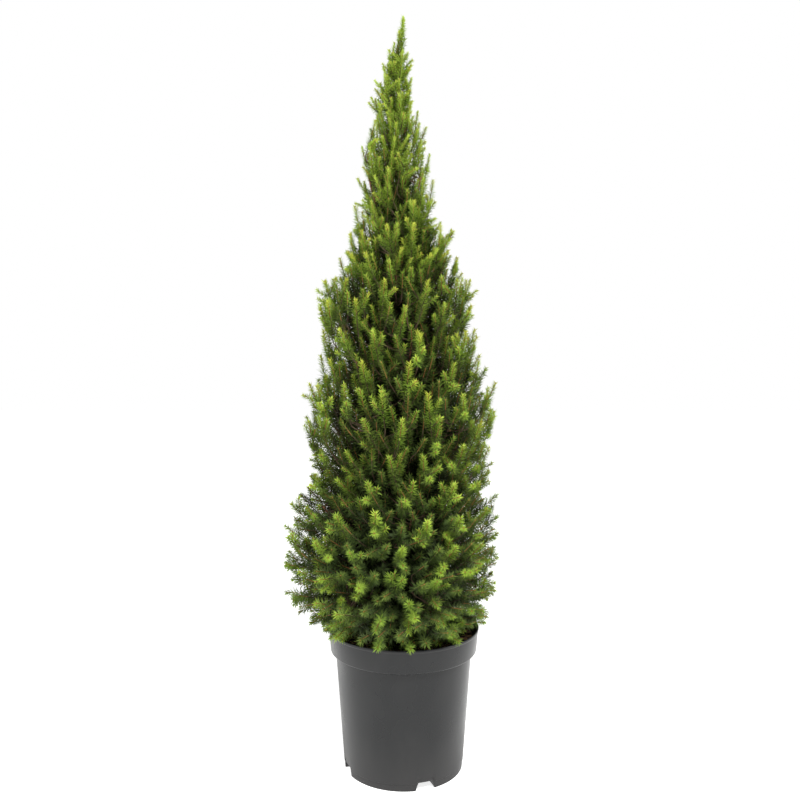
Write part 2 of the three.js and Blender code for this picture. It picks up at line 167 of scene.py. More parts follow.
def colour_by(
    material: bpy.types.Material, shader: bpy.types.Node, value: bpy.types.NodeSocket,
    stops: list[tuple[float, str]],
) -> None:
    """Colour a shader by a value.

    Args:
        material: the material.
        shader: its shader.
        value: the output that gives the value.
        stops: places from 0 to 1, each with its sRGB hex colour.
    """
    colour = add_node(material, "ValToRGB", {}, {"Fac": value})
    elements = colour.color_ramp.elements
    while len(elements) < len(stops):
        elements.new(1.0)
    for element, (place, tint) in zip(elements, stops):
        element.position = place
        element.color = linear(tint)
    material.node_tree.links.new(colour.outputs[0], shader.inputs["Base Color"])


def emboss(
    material: bpy.types.Material, shader: bpy.types.Node, height: bpy.types.NodeSocket,
    strength: float, distance: float,
) -> None:
    """Raise a fine relief on a shader's surface.

    Args:
        material: the material.
        shader: its shader.
        height: the output that gives the relief, from 0 to 1.
        strength: how strong it looks.
        distance: its full height in metres.
    """
    bump = add_node(material, "Bump", {"Strength": strength, "Distance": distance}, {"Height": height})
    material.node_tree.links.new(bump.outputs[0], shader.inputs["Normal"])


# ---------------------------------------------------------------- finishes


class Tint(Enum):
    """The plain greens of the needles, from fresh tips to old inner growth, and the olive of fallen ones; the
    darkest greens stand partly for old growth and partly for painted shade inside the crown.
    """

    LIME = "#a5bb48"
    LEMON = "#b1bd47"
    FRESH = "#8da63c"
    SPRING = "#799335"
    LEAF = "#688230"
    GRASS = "#5b6d2d"
    GREEN = "#4b5c27"
    MOSS = "#3c4c22"
    DEEP = "#313e1d"
    SHADE = "#242d15"
    OLIVE = "#5b5c2c"


@dataclass(frozen=True)
class Needle:
    """Living spruce needles: a thin waxy skin, which gives each one a soft satin light along its edge."""

    tint: Tint
    roughness: float = 0.55
    specular: float = 0.12

    def material(self) -> bpy.types.Material:
        """Make the plain material of this tint."""
        return new_material(
            "spruce_needle_" + self.tint.name.lower(),
            Base_Color=linear(self.tint.value),
            Roughness=self.roughness,
            Specular_IOR_Level=self.specular,
        )[0]


@dataclass(frozen=True)
class Twigwood:
    """The smooth young bark of spruce twigs, matte, orange brown when new and grey brown when old."""

    name: str
    tint: str
    roughness: float = 0.75

    def material(self) -> bpy.types.Material:
        """Make the plain material of this age of twig."""
        return new_material(self.name, Base_Color=linear(self.tint), Roughness=self.roughness)[0]


@dataclass(frozen=True)
class ScalyBark:
    """Spruce bark: thin flakes about 4 mm across with dark cracks between, rough and quite matte."""

    flake: float = 4.0  # mm across one flake
    crack: str = "#2f2118"
    brown: str = "#6d4a31"
    pale: str = "#94765a"

    def material(self) -> bpy.types.Material:
        """Make the bark, coloured by flakes and weathered in patches.

        Returns:
            The material, which reads Object coordinates.
        """
        material, shader = new_material("spruce_bark", Roughness=0.88, Specular_IOR_Level=0.25)
        place = add_node(material, "TexCoord").outputs["Object"]
        tall = stretched(material, place, 0.45)
        cracks = {"feature": "DISTANCE_TO_EDGE", "Scale": 1 / (self.flake * MM)}
        flakes = add_node(material, "TexVoronoi", cracks, {"Vector": tall}).outputs["Distance"]
        edge = remapped(material, flakes, From_Max=0.22)
        tone = multiplied(material, edge, noise(material, tall, 60.0, 4.0))
        colour_by(material, shader, tone, [(0.0, self.crack), (0.35, self.brown), (0.75, self.pale)])
        emboss(material, shader, tone, 0.6, 0.0006)
        return material


@dataclass(frozen=True)
class MouldedPolypropylene:
    """Injection-moulded recycled polypropylene: charcoal grey, satin, with a thin film of dust."""

    body: str = "#161718"
    dust: str = "#2b2a2a"
    peel: float = 2.5  # mm between the soft waves of a moulded skin

    def material(self) -> bpy.types.Material:
        """Make the pot's plastic, dustier towards its foot.

        Returns:
            The material, which reads Object coordinates.
        """
        material, shader = new_material("moulded_polypropylene", IOR=1.49, Specular_IOR_Level=0.3)
        place = add_node(material, "TexCoord").outputs["Object"]
        height = add_node(material, "SeparateXYZ", {}, {"Vector": place}).outputs["Z"]
        low = remapped(material, height, From_Min=0.075, From_Max=0.0, To_Max=0.75)
        streaks = noise(material, stretched(material, place, 0.4), 40.0, 2.0, 0.4)
        film = multiplied(material, streaks, noise(material, place, 22.0, 4.0))
        amount = add_node(material, "Math", {"operation": "ADD"}, {0: film, 1: low}).outputs[0]
        share = remapped(material, amount, From_Min=0.15, From_Max=1.0, To_Max=0.8)
        gloss = remapped(material, share, To_Min=0.26, To_Max=0.55)
        material.node_tree.links.new(gloss, shader.inputs["Roughness"])
        colour_by(material, shader, share, [(0.0, self.body), (1.0, self.dust)])
        emboss(material, shader, noise(material, place, 1 / (self.peel * MM), 2.0), 0.12, 0.0002)
        return material


@dataclass(frozen=True)
class DampPeat:
    """Damp peat mix: nearly black crumbs with lighter fibres, matte."""

    wet: str = "#1a120c"
    dry: str = "#4a3626"
    crumb: float = 3.0  # mm across one crumb

    def material(self) -> bpy.types.Material:
        """Make the soil's material.

        Returns:
            The material, which reads Object coordinates.
        """
        material, shader = new_material("damp_peat", Roughness=0.95, Specular_IOR_Level=0.2)
        place = add_node(material, "TexCoord").outputs["Object"]
        crumbs = add_node(material, "TexVoronoi", {"Scale": 1 / (self.crumb * MM)}, {"Vector": place})
        mix = multiplied(material, crumbs.outputs["Color"], noise(material, place, 45.0, 6.0))
        colour_by(material, shader, mix, [(0.1, self.wet), (0.6, self.dry)])
        emboss(material, shader, crumbs.outputs["Distance"], 0.8, 0.001)
        return material


# ---------------------------------------------------------------- shapes


@dataclass
class Surface:
    """A mesh in the making: points in millimetres, triangles, and the finish number of each triangle."""

    points: np.ndarray
    faces: np.ndarray
    finish: np.ndarray

    @staticmethod
    def joined(parts: list["Surface"]) -> "Surface":
        """Lay several surfaces together as one."""
        starts = np.cumsum([0] + [len(part.points) for part in parts[:-1]])
        faces = [part.faces + start for part, start in zip(parts, starts)]
        points = [part.points for part in parts]
        finish = [part.finish for part in parts]
        return Surface(np.concatenate(points), np.concatenate(faces), np.concatenate(finish))

    def piece(
        self, name: str, materials: list[bpy.types.Material], slot: str, crease: float = 0.0
    ) -> bpy.types.Object:
        """Write the surface into a Blender object that rides on the plant's one body.

        Args:
            name: the piece's name.
            materials: its materials, in the order of the finish numbers.
            slot: the material slot that it belongs to; not used.
            crease: the angle in degrees above which an edge stays sharp, or 0 for flat faces.

        Returns:
            The object.
        """
        mesh = bpy.data.meshes.new(name)
        mesh.vertices.add(len(self.points))
        mesh.vertices.foreach_set("co", (self.points * MM).astype(np.float32).ravel())
        mesh.loops.add(self.faces.size)
        mesh.loops.foreach_set("vertex_index", self.faces.astype(np.int32).ravel())
        mesh.polygons.add(len(self.faces))
        mesh.polygons.foreach_set("loop_start", np.arange(0, self.faces.size, 3, dtype=np.int32))
        mesh.polygons.foreach_set("material_index", self.finish.astype(np.int32))
        for material in materials:
            mesh.materials.append(material)
        mesh.update(calc_edges=True)
        if crease:
            mesh.shade_smooth()
            mesh.set_sharp_from_angle(angle=math.radians(crease))
        else:
            mesh.shade_flat()
        made = bpy.data.objects.new(name, mesh)
        bpy.context.scene.collection.objects.link(made)
        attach(made, "root")
        LOG.info("%s: %d triangles", name, len(self.faces))
        return made


def unit(vectors: np.ndarray) -> np.ndarray:
    """Scale vectors to a length of 1."""
    return vectors / np.maximum(np.linalg.norm(vectors, axis=-1, keepdims=True), 1e-9)


def outward(turn: np.ndarray | float) -> np.ndarray:
    """Give the level direction at a turn in degrees: -Y at 0 and +X at 90."""
    angle = np.radians(np.asarray(turn, dtype=float))
    return np.stack([np.sin(angle), -np.cos(angle), np.zeros_like(angle)], axis=-1)


def ease(value: np.ndarray) -> np.ndarray:
    """Ease values from 0 to 1: three times the square less twice the cube."""
    value = np.clip(value, 0.0, 1.0)
    return value * value * (3 - 2 * value)


def roughened(points: np.ndarray, size: float, seed: int) -> np.ndarray:
    """Give a smooth random value at points: seeded values on a lattice, eased from corner to corner.

    Args:
        points: places in millimetres, with three numbers each.
        size: the lattice's step in millimetres.
        seed: which lattice.

    Returns:
        One value from -1 to 1 for each point.
    """
    scaled = points / size
    base = np.floor(scaled).astype(np.int64)
    share = ease(scaled - base)
    total = np.zeros(points.shape[:-1])
    for corner in range(8):
        bits = np.array([corner & 1, corner >> 1 & 1, corner >> 2 & 1])
        cell = base + bits
        key = (cell[..., 0] * 73856093) ^ (cell[..., 1] * 19349663)
        key = key ^ (cell[..., 2] * 83492791) ^ (seed * 2654435761)
        key = (key ^ (key >> 13)) * 1274126177 & 0xFFFFFFFF
        weight = np.prod(np.where(bits == 1, share, 1 - share), axis=-1)
        total += weight * ((key ^ (key >> 16)) & 0xFFFF) / 32767.5
    return total - 1


def grid_faces(rows: int, columns: int) -> np.ndarray:
    """Give the triangles of a grid that closes on itself along its columns.

    Args:
        rows: how many rows of points, one after another.
        columns: how many points round each row.

    Returns:
        The triangles, which face right of the way up seen from inside.
    """
    row, column = np.meshgrid(np.arange(rows - 1), np.arange(columns), indexing="ij")
    after = (column + 1) % columns
    a, b = row * columns + column, row * columns + after
    c, d = b + columns, a + columns
    return np.stack([a, b, c, a, c, d], axis=-1).reshape(-1, 3)


def capped_faces(rings: int, sides: int) -> np.ndarray:
    """Give the triangles of a tube that a fan closes at either end.

    Args:
        rings: how many rings of points, one after another.
        sides: how many points each ring has.

    Returns:
        The triangles, which face out.
    """
    fan = np.arange(1, sides - 1)
    foot = np.stack([np.zeros_like(fan), fan + 1, fan], axis=-1)
    head = np.stack([np.zeros_like(fan), fan, fan + 1], axis=-1) + (rings - 1) * sides
    return np.concatenate([grid_faces(rings, sides), foot, head])


def poled_faces(rings: int, sides: int) -> np.ndarray:
    """Give the triangles of a tube that runs together to a pole at either end.

    Args:
        rings: how many rings of points, one after another, before the two poles.
        sides: how many points each ring has.

    Returns:
        The triangles, which face out.
    """
    first = np.arange(sides)
    after = (first + 1) % sides
    last, pole = (rings - 1) * sides, np.full_like(first, rings * sides)
    foot = np.stack([pole, after, first], axis=-1)
    head = np.stack([pole + 1, last + first, last + after], axis=-1)
    return np.concatenate([grid_faces(rings, sides), foot, head])


def scraps(corners: list[np.ndarray], order: list[list[int]], finish: np.ndarray) -> Surface:
    """Make many small closed shapes of four faces at once.

    Args:
        corners: the four corners, each as one array with a row for every shape.
        order: the corners of the four faces.
        finish: one finish number for each shape.

    Returns:
        The shapes as one surface.
    """
    faces = np.array(order)[None] + 4 * np.arange(len(finish))[:, None, None]
    points = np.stack(corners, axis=1).reshape(-1, 3)
    return Surface(points, faces.reshape(-1, 3), np.repeat(finish, 4))


def tubes(middles: np.ndarray, radii: np.ndarray, sides: int, finish: np.ndarray) -> Surface:
    """Carry a round section along many paths at once and close both ends.

    Each point is its path's middle, plus the radius times the cosine of its angle along one side
    vector, plus the radius times the sine along another.

    Args:
        middles: for each tube, the points that it follows (tubes, rings, 3).
        radii: its radius at each of them (tubes, rings).
        sides: how many faces go round it.
        finish: one finish number for each tube.

    Returns:
        The tubes as one surface.
    """
    count, rings = radii.shape
    way = unit(np.gradient(middles, axis=1))
    chord = middles[:, -1] - middles[:, 0]
    level = np.hypot(chord[:, 0], chord[:, 1]) > 1e-3 * np.linalg.norm(chord, axis=1)
    across = np.where(level[:, None], np.cross(chord, UP), np.array([1.0, 0.0, 0.0]))[:, None, :]
    side = unit(across - way * np.sum(across * way, axis=-1, keepdims=True))
    rise = np.cross(way, side)
    angle = np.arange(sides) * 2 * math.pi / sides
    spokes = side[:, :, None] * np.cos(angle)[:, None] + rise[:, :, None] * np.sin(angle)[:, None]
    points = (middles[:, :, None] + radii[:, :, None, None] * spokes).reshape(-1, 3)
    one = capped_faces(rings, sides)
    faces = (one[None] + (np.arange(count) * rings * sides)[:, None, None]).reshape(-1, 3)
    return Surface(points, faces, np.repeat(finish, len(one)))


@dataclass
class Bend:
    """A quadratic curve from a root past a bend to a tip, measured along its length."""

    root: np.ndarray
    bend: np.ndarray
    tip: np.ndarray
    samples: int = 200

    def __post_init__(self) -> None:
        """Measure the curve's length in small steps."""
        self.steps = np.linspace(0, 1, self.samples + 1)
        walked = np.linalg.norm(np.diff(self.raw(self.steps), axis=0), axis=1)
        self.walked = np.concatenate([[0.0], np.cumsum(walked)])

    def raw(self, t: np.ndarray) -> np.ndarray:
        """Give the points at the curve's own parameter."""
        t = np.asarray(t)[..., None]
        return (1 - t) ** 2 * self.root + 2 * t * (1 - t) * self.bend + t**2 * self.tip

    def at(self, share: np.ndarray) -> np.ndarray:
        """Give the points at shares of the curve's length."""
        return self.raw(np.interp(np.asarray(share) * self.walked[-1], self.walked, self.steps))


# ---------------------------------------------------------------- the rule of growth


class Chance:
    """The seeded linear congruential generator that places every spray."""

    def __init__(self, seed: int) -> None:
        """Start from a seed."""
        self.state = seed * 2654435761 % 2**32

    def draw(self) -> float:
        """Give the next number from 0 to 1."""
        self.state = (self.state * 1664525 + 1013904223) % 2**32
        return self.state / 2**32

    def stray(self, most: float) -> float:
        """Give a number up to half of most to either side of 0."""
        return most * (self.draw() - 0.5)


@dataclass(frozen=True)
class Tier:
    """A ring of boughs and masses, parted from the one below by a cone through the outline at low."""

    name: str
    boughs: int
    turn: float
    leave: float
    low: float
    rise: float
    columns: int
    rows: int


@dataclass(frozen=True)
class Habit:
    """The shape of the whole crown: its outline, its tiers and the way shoots point."""

    foot: float = 188.0
    tip: float = 1033.0
    seed: int = 300
    seed_step: int = 10
    tilt_low: float = 106.0
    tilt_top: float = 8.0
    tilt_ease: float = 5.0  # above 1 the lean is mostly lost in the lower crown
    heights: tuple[float, ...] = (188, 240, 350, 428, 515, 590, 665, 728, 800, 900, 945, 1033)
    radii: tuple[float, ...] = (106, 150, 152, 126, 138, 112, 110, 76, 53, 43, 24, 3)
    middles: tuple[float, ...] = (-4, -15, -16, -4, -4, -3, -10, -4, -12, -11, -13, -1)
    tiers: tuple[Tier, ...] = (
        Tier("a", 6, -90, 204, 190, 0.0, 3, 3),
        Tier("b", 5, -60, 296, 322, 0.23, 3, 3),
        Tier("c", 5, -100, 384, 438, 0.5, 3, 3),
        Tier("d", 4, -80, 458, 556, 0.85, 3, 3),
        Tier("e", 4, -95, 560, 662, 1.15, 3, 3),
        Tier("f", 3, -60, 700, 762, 1.35, 2, 3),
        Tier("g", 1, 0, 884, 874, 1.5, 3, 5),
    )

    def size(self, height: np.ndarray | float, values: tuple[float, ...]) -> np.ndarray:
        """Give one of the outline's sizes at a height, eased from station to station."""
        height = np.clip(height, self.heights[0], self.heights[-1])
        index = np.clip(np.searchsorted(self.heights, height, side="left"), 1, len(self.heights) - 1)
        lows, highs = np.take(self.heights, index - 1), np.take(self.heights, index)
        share = ease((height - lows) / (highs - lows))
        return np.take(values, index - 1) * (1 - share) + np.take(values, index) * share

    def radius(self, height: np.ndarray | float) -> np.ndarray:
        """Give the crown's radius at a height."""
        return self.size(height, self.radii)

    def place(
        self, turn: np.ndarray | float, height: np.ndarray | float, share: np.ndarray | float
    ) -> np.ndarray:
        """Give the place a share of the way out to the outline.

        Args:
            turn: the direction in degrees.
            height: the height in millimetres.
            share: 0 at the crown's middle and 1 on its outline.

        Returns:
            The place in millimetres.
        """
        height = np.asarray(height, dtype=float)
        middle = np.stack([self.size(height, self.middles), np.zeros_like(height), height], axis=-1)
        return middle + outward(turn) * np.asarray(self.radius(height) * share)[..., None]

    def upper(self, height: np.ndarray | float) -> np.ndarray:
        """Give how far up the crown a height is, from 0 to 1."""
        return np.clip((np.asarray(height, dtype=float) - self.foot) / (self.tip - self.foot), 0, 1)

    def way(self, turn: np.ndarray | float, height: np.ndarray | float) -> np.ndarray:
        """Give the way a shoot grows: nearly flat at the crown's foot, nearly upright at its top."""
        under = (1 - self.upper(height)) ** self.tilt_ease
        tilt = np.radians(self.tilt_top + (self.tilt_low - self.tilt_top) * under)
        return outward(turn) * np.sin(tilt)[..., None] + UP * np.cos(tilt)[..., None]

    def cone(self, tier: Tier, radius: np.ndarray | float) -> np.ndarray:
        """Give the height of the cone under a tier at a radius."""
        return tier.low - tier.rise * (self.radius(tier.low) - radius)


@dataclass(frozen=True)
class TrunkForm:
    """The trunk's line and thickness."""

    foot: float = 184.3
    tip: float = 884.0
    foot_radius: float = 9.4
    tip_radius: float = 2.1
    leader_radius: float = 0.7
    flare: float = 5.2
    flare_height: float = 15.0
    lobes: int = 5
    lobe_depth: float = 0.16
    taper: float = 0.8
    lean: float = -9.0
    bow: float = -5.0
    bow_depth: float = 3.0

    def share(self, height: np.ndarray | float) -> np.ndarray:
        """Give how far up the trunk a height is, from 0 to 1."""
        return np.clip((np.asarray(height, dtype=float) - self.foot) / (self.tip - self.foot), 0, 1)

    def middle(self, height: np.ndarray | float) -> np.ndarray:
        """Give the trunk's middle: it leans by a share of its height and bows by half a sine wave."""
        height = np.asarray(height, dtype=float)
        share = self.share(height)
        bow = np.sin(math.pi * share)
        return np.stack([self.lean * share + self.bow * bow, self.bow_depth * bow, height], axis=-1)

    def radius(self, height: np.ndarray | float) -> np.ndarray:
        """Give the trunk's radius, with the root flare that dies away over flare_height."""
        share = self.share(height) ** self.taper
        flare = self.flare * np.exp(-(np.asarray(height, dtype=float) - self.foot) / self.flare_height)
        return self.foot_radius + (self.tip_radius - self.foot_radius) * share + flare


@dataclass
class Mass:
    """One mass of foliage: its tier, its sector, and the line that carries it."""

    tier: Tier
    above: Tier | None
    number: int
    turn: float
    width: float
    line: Bend
    bough: tuple[float, float] | None  # radii of the bough, or nothing where the mass grows on the leader
    low: float
    high: float
    seed: int

    @property
    def node(self) -> str:
        """Give the name of the mass's solid."""
        return f"foliage_{self.tier.name}{self.number}"


@dataclass(frozen=True)
class Boughs:
    """How boughs leave the trunk and run on as the stems of their masses."""

    habit: Habit = Habit()
    trunk: TrunkForm = TrunkForm()
    reach: float = 0.78
    root_share: float = 0.5
    tip_radius: float = 1.0
    tip_share: float = 0.2
    sag: float = 0.16
    stagger: float = 36.0

    def masses(self) -> list[Mass]:
        """Set out every mass with its bough and stem, from the crown's foot up."""
        found = []
        for level, tier in enumerate(self.habit.tiers[:-1]):
            above = self.habit.tiers[level + 1]
            for i in range(tier.boughs):
                found.append(self.side_mass(tier, above, level, i))
        return found + [self.leader_mass()]

    def side_mass(self, tier: Tier, above: Tier, level: int, i: int) -> Mass:
        """Set out one mass of a tier.

        Args:
            tier: its tier.
            above: the tier over it.
            level: the tier's number from the bottom, from 0.
            i: the mass's number in its tier, from 0.

        Returns:
            The mass, whose line sags from the trunk out to the crown's outline.
        """
        width = 360 / tier.boughs
        turn = tier.turn + width * i
        leave = tier.leave + self.stagger * ((2 * i) % tier.boughs) / tier.boughs
        root = self.trunk.middle(leave)
        tip = self.habit.place(turn, (tier.low + above.low) / 2, self.reach)
        middle = (root + tip) / 2 - UP * self.sag * np.linalg.norm(tip - root)
        line = Bend(root, middle, tip)
        thick = self.root_share * float(self.trunk.radius(leave))
        thin = self.tip_radius + self.tip_share * thick
        seed = self.habit.seed + self.habit.seed_step * level + i
        return Mass(tier, above, i + 1, turn, width, line, (thick, thin), tier.low, above.low, seed)

    def leader_mass(self) -> Mass:
        """Set out the mass on the trunk's last shoot.

        Returns:
            The topmost mass, whose stem is the leader.
        """
        tier = self.habit.tiers[-1]
        foot = self.trunk.middle(self.trunk.tip) + UP * GAP
        tip = self.habit.place(0.0, self.habit.tip, 0.0)
        line = Bend(foot, (foot + tip) / 2, tip)
        seed = self.habit.seed + self.habit.seed_step * (len(self.habit.tiers) - 1)
        return Mass(tier, None, 1, 0.0, 360.0, line, None, tier.low, self.habit.tip, seed)


# ---------------------------------------------------------------- shoots


class Age(Enum):
    """How old a shoot is: its needles to each millimetre, their width and how much longer they are."""

    MAIN = (2.7, 1.4, 1.0)
    LEADER = (2.5, 1.45, 0.88)
    FRESH = (2.1, 1.45, 1.0)
    GROWN = (1.4, 1.8, 1.1)
    INNER = (1.0, 3.3, 1.4)

    @property
    def dense(self) -> float:
        """Give the needles to each millimetre of a shoot."""
        return self.value[0]

    @property
    def wide(self) -> float:
        """Give the width of a needle in millimetres."""
        return self.value[1]

    @property
    def long(self) -> float:
        """Give how much longer its needles are than those of a fresh shoot."""
        return self.value[2]


@dataclass
class Shoot:
    """One needled shoot: its line, its needles and the twig that carries it."""

    root: np.ndarray
    way: np.ndarray
    length: float
    lift: float
    needle: float
    spread: float
    age: Age
    turn: float
    origin: np.ndarray | None = None  # where its twig leaves its stem, or nothing on a side shoot
    vigour: float = 0.5  # how bright its needles are
    new: float = 0.35  # the share of its length that grew this year

    @property
    def tip(self) -> np.ndarray:
        """Give the shoot's tip."""
        return self.root + self.way * self.length


def each(shoots: list[Shoot], name: str) -> np.ndarray:
    """Give one of the fields of every shoot as an array."""
    return np.array([getattr(shoot, name) for shoot in shoots])


@dataclass
class Growth:
    """Grows the sprays of every mass by the source's rule and carries them on to finer shoots."""

    boughs: Boughs = Boughs()
    spray_length: float = 62.0
    spray_top_length: float = 50.0
    spray_length_from: float = 0.85  # of a spray, as a share of the length above, and how much it varies
    spray_length_more: float = 0.3
    row_shift: float = 0.2  # how far every other row of sprays is shifted, in columns
    turn_stray: float = 0.3
    height_stray: float = 0.35
    edge: float = 0.97  # where sprays end on the way out to the outline
    edge_stray: float = 0.05
    apart: float = 16.5
    apart_growth: float = 0.145
    climb: float = 0.45  # how far a fine twig rises for each millimetre that it goes out
    below: float = 90.0  # how far below its mass it may leave the trunk
    too_high: float = 2.5  # what each millimetre counts by which it would have to fall
    fine_apart: float = 13.0  # least distance between the tips of fine shoots at the crown's axis
    fine_growth: float = 0.065  # and how it grows with the crown's radius
    tries: int = 500  # darts thrown for fine shoots in each shell of a mass
    stray: float = 0.14  # how far a main shoot points aside from the rule's way
    top_stray: float = 0.12  # and how much further at the crown's tip
    fine_stray: float = 0.24
    # how strongly painted light brightens the tints towards the crown's top, inner shoots too
    top_painted_light: float = 1.3
    painted_light_from: float = 0.4  # how far up the crown painted light begins to brighten its shoots' tints
    leader_from: float = 0.74  # how far up the crown its shoots take on the leader's even green
    proud: float = 9.0  # how far the main shoots stand out of the fine ones
    least_in: float = 0.4  # but where the crown is narrow the fine ones keep this share of their way out
    overshoot: float = 3.0  # how far a side shoot may pass the crown's outline
    rim: float = 207.0  # below this height fine shoots keep within the pot's rim
    rim_inside: float = 90.0
    rim_outside: float = 110.0
    over_rim: float = 203.0  # above this height a shoot may lie over the pot's wall
    main_length: float = 0.92  # of a main shoot, as a share of its spray's length
    needle: float = 11.4  # length of a needle at the crown's foot, and how much shorter at its tip
    needle_drop: float = 3.8
    leader_needle: float = 8.2
    needle_range: tuple[float, float] = (0.88, 1.12)
    spread_stray: float = 7.0
    leader_stray: float = 0.1
    lift_foot: float = -0.16  # how far a shoot turns up along its length at the crown's foot
    lift_more: float = 0.62  # how much more it does higher up, and how soon
    lift_fast: float = 2.2
    lift_fade: float = 0.6  # and how far that fades towards the crown's tip
    spread: float = 76.0  # degrees between a needle and its shoot, and how much less at the crown's tip
    spread_drop: float = 10.0
    foot_painted_shade: float = 0.8  # how far painted shade dims the tints at the crown's foot, and how soon that fades going up
    foot_painted_shade_fade: float = 2.0
    new_growth: tuple[float, float] = (12, 21)
    side_place: tuple[float, float] = (0.15, 0.75)  # where side shoots leave, as shares of the length
    side_angle: tuple[float, float] = (34, 52)
    side_length: tuple[float, float] = (0.3, 0.55)
    side_count: tuple[int, int] = (2, 4)
    side_needle: float = 0.9
    side_vigour: tuple[float, float] = (0.5, 0.95)
    side_new: tuple[float, float] = (0.3, 0.6)
    leader_extra: int = 2  # how many more side shoots a leading shoot has
    # the stretches of needles up the leader, each a little over the one before
    leader_shares: tuple[tuple[float, float], ...] = ((0.0, 0.36), (0.34, 0.68), (0.66, 0.985))
    fine_length: tuple[float, float] = (32, 56)
    fine_drop: float = 0.15  # how much shorter fine shoots are at the crown's tip
    clear_of_soil: float = 8.0  # how far above the crown's foot the lowest fine shoots end
    vigour: dict[Age, tuple[float, float]] = field(
        default_factory=lambda: {
            Age.MAIN: (0.5, 1.0), Age.FRESH: (0.05, 0.65), Age.GROWN: (0.0, 0.7), Age.INNER: (0.0, 0.7)
        }
    )
    shells: tuple[tuple[float, float, float, Age], ...] = (  # inner and outer share, spacing and age
        (0.82, 1.0, 1.05, Age.FRESH),
        (0.62, 0.84, 0.9, Age.GROWN),
        (0.12, 0.78, 0.72, Age.INNER),
    )

    @property
    def habit(self) -> Habit:
        """Give the crown's shape."""
        return self.boughs.habit

    def targets(self, mass: Mass, chance: Chance) -> list[tuple[np.ndarray, np.ndarray, float]]:
        """Give where the source's sprays of a mass end.

        Args:
            mass: the mass.
            chance: its generator.

        Returns:
            For each spray its tip, its way and its length.
        """
        found = []
        for row in range(mass.tier.rows):
            for column in range(mass.tier.columns):
                shift = (self.row_shift if row % 2 else -self.row_shift) + chance.stray(self.turn_stray)
                turn = mass.turn + mass.width * ((column + 0.5 + shift) / mass.tier.columns - 0.5)
                step = row + 0.5 + chance.stray(self.height_stray)
                height = mass.low + (mass.high - mass.low) * step / mass.tier.rows
                upper = (height - self.habit.foot) / (self.habit.tip - self.habit.foot)
                length = self.spray_length + (self.spray_top_length - self.spray_length) * upper
                tip = self.habit.place(turn, height, self.edge + chance.stray(self.edge_stray))
                length *= self.spray_length_from + self.spray_length_more * chance.draw()
                found.append((tip, self.habit.way(turn, height), length))
        return found

    def low_origin(self, mass: Mass, root: np.ndarray) -> np.ndarray:
        """Give the limb's place from which a fine twig reaches a root without bending down.

        Args:
            mass: the mass, whose stem and bough may carry the twig, as may the trunk beside it.
            root: where the twig ends.

        Returns:
            The place that is near and well below the root.
        """
        trunk = self.boughs.trunk
        heights = np.arange(max(trunk.foot + 25, mass.low - self.below), min(trunk.tip, mass.high), 12.0)
        limbs = np.concatenate([mass.line.at(np.linspace(0.1, 0.97, 30)), trunk.middle(heights)])
        level = np.linalg.norm((root - limbs)[:, :2], axis=1)
        above = np.clip(limbs[:, 2] - (root[2] - self.climb * level), 0, None)
        return limbs[np.argmin(np.linalg.norm(root - limbs, axis=1) + self.too_high * above)]

    def strayed(
        self, tip: np.ndarray, way: np.ndarray, length: float, aside: float, rng: np.random.Generator
    ) -> np.ndarray:
        """Turn a shoot's way aside by chance, to the side that keeps its root further inside the crown.

        Args:
            tip: where the shoot ends.
            way: the way that the rule gives it.
            length: its length in millimetres.
            aside: how far it may stray.
            rng: the generator of the stray.

        Returns:
            The way that it takes.
        """
        one = unit(way + aside * rng.normal(size=3))
        other = 2 * way * float(way @ one) - one
        roots = np.array([tip - one * length, tip - other * length])
        middles = self.habit.size(roots[:, 2], self.habit.middles)
        out = np.hypot(roots[:, 0] - middles, roots[:, 1])
        return one if out[0] <= out[1] else other

    def shoot(
        self, mass: Mass, tip: np.ndarray, way: np.ndarray, length: float, age: Age, rng: np.random.Generator
    ) -> Shoot:
        """Make one shoot that ends at a tip.

        Args:
            mass: the mass that it belongs to.
            tip: where it ends.
            way: the way it points on the whole.
            length: its length in millimetres.
            age: its age.
            rng: the generator of its small differences.

        Returns:
            The shoot, on a twig from its mass's stem.
        """
        upper = float(self.habit.upper(tip[2]))
        lift = self.lift_foot + self.lift_more * min(1.0, upper * self.lift_fast)
        spread = self.spread - self.spread_drop * upper
        root = tip - way * length
        low, high = self.vigour[age]
        # painted light: the tints brighten towards the crown's top
        painted_top_light = self.top_painted_light * max(0.0, upper - self.painted_light_from)
        if upper > self.leader_from + rng.uniform(-self.leader_stray, self.leader_stray):
            age = Age.GROWN if age is Age.INNER else Age.LEADER
        return Shoot(
            root=root,
            way=way,
            length=length,
            lift=lift * (1 - self.lift_fade * upper),
            needle=(self.needle - self.needle_drop * upper) * rng.uniform(*self.needle_range) * age.long,
            spread=spread + rng.uniform(-self.spread_stray, self.spread_stray),
            age=age,
            turn=rng.uniform(0, 2 * math.pi),
            origin=self.low_origin(mass, root),
            # the vigour picks the tint row; at the crown's foot it is lowered as painted shade
            vigour=rng.uniform(low, high) + painted_top_light - max(0.0, self.foot_painted_shade - self.foot_painted_shade_fade * upper),
            new=rng.uniform(*self.new_growth) / length,
        )

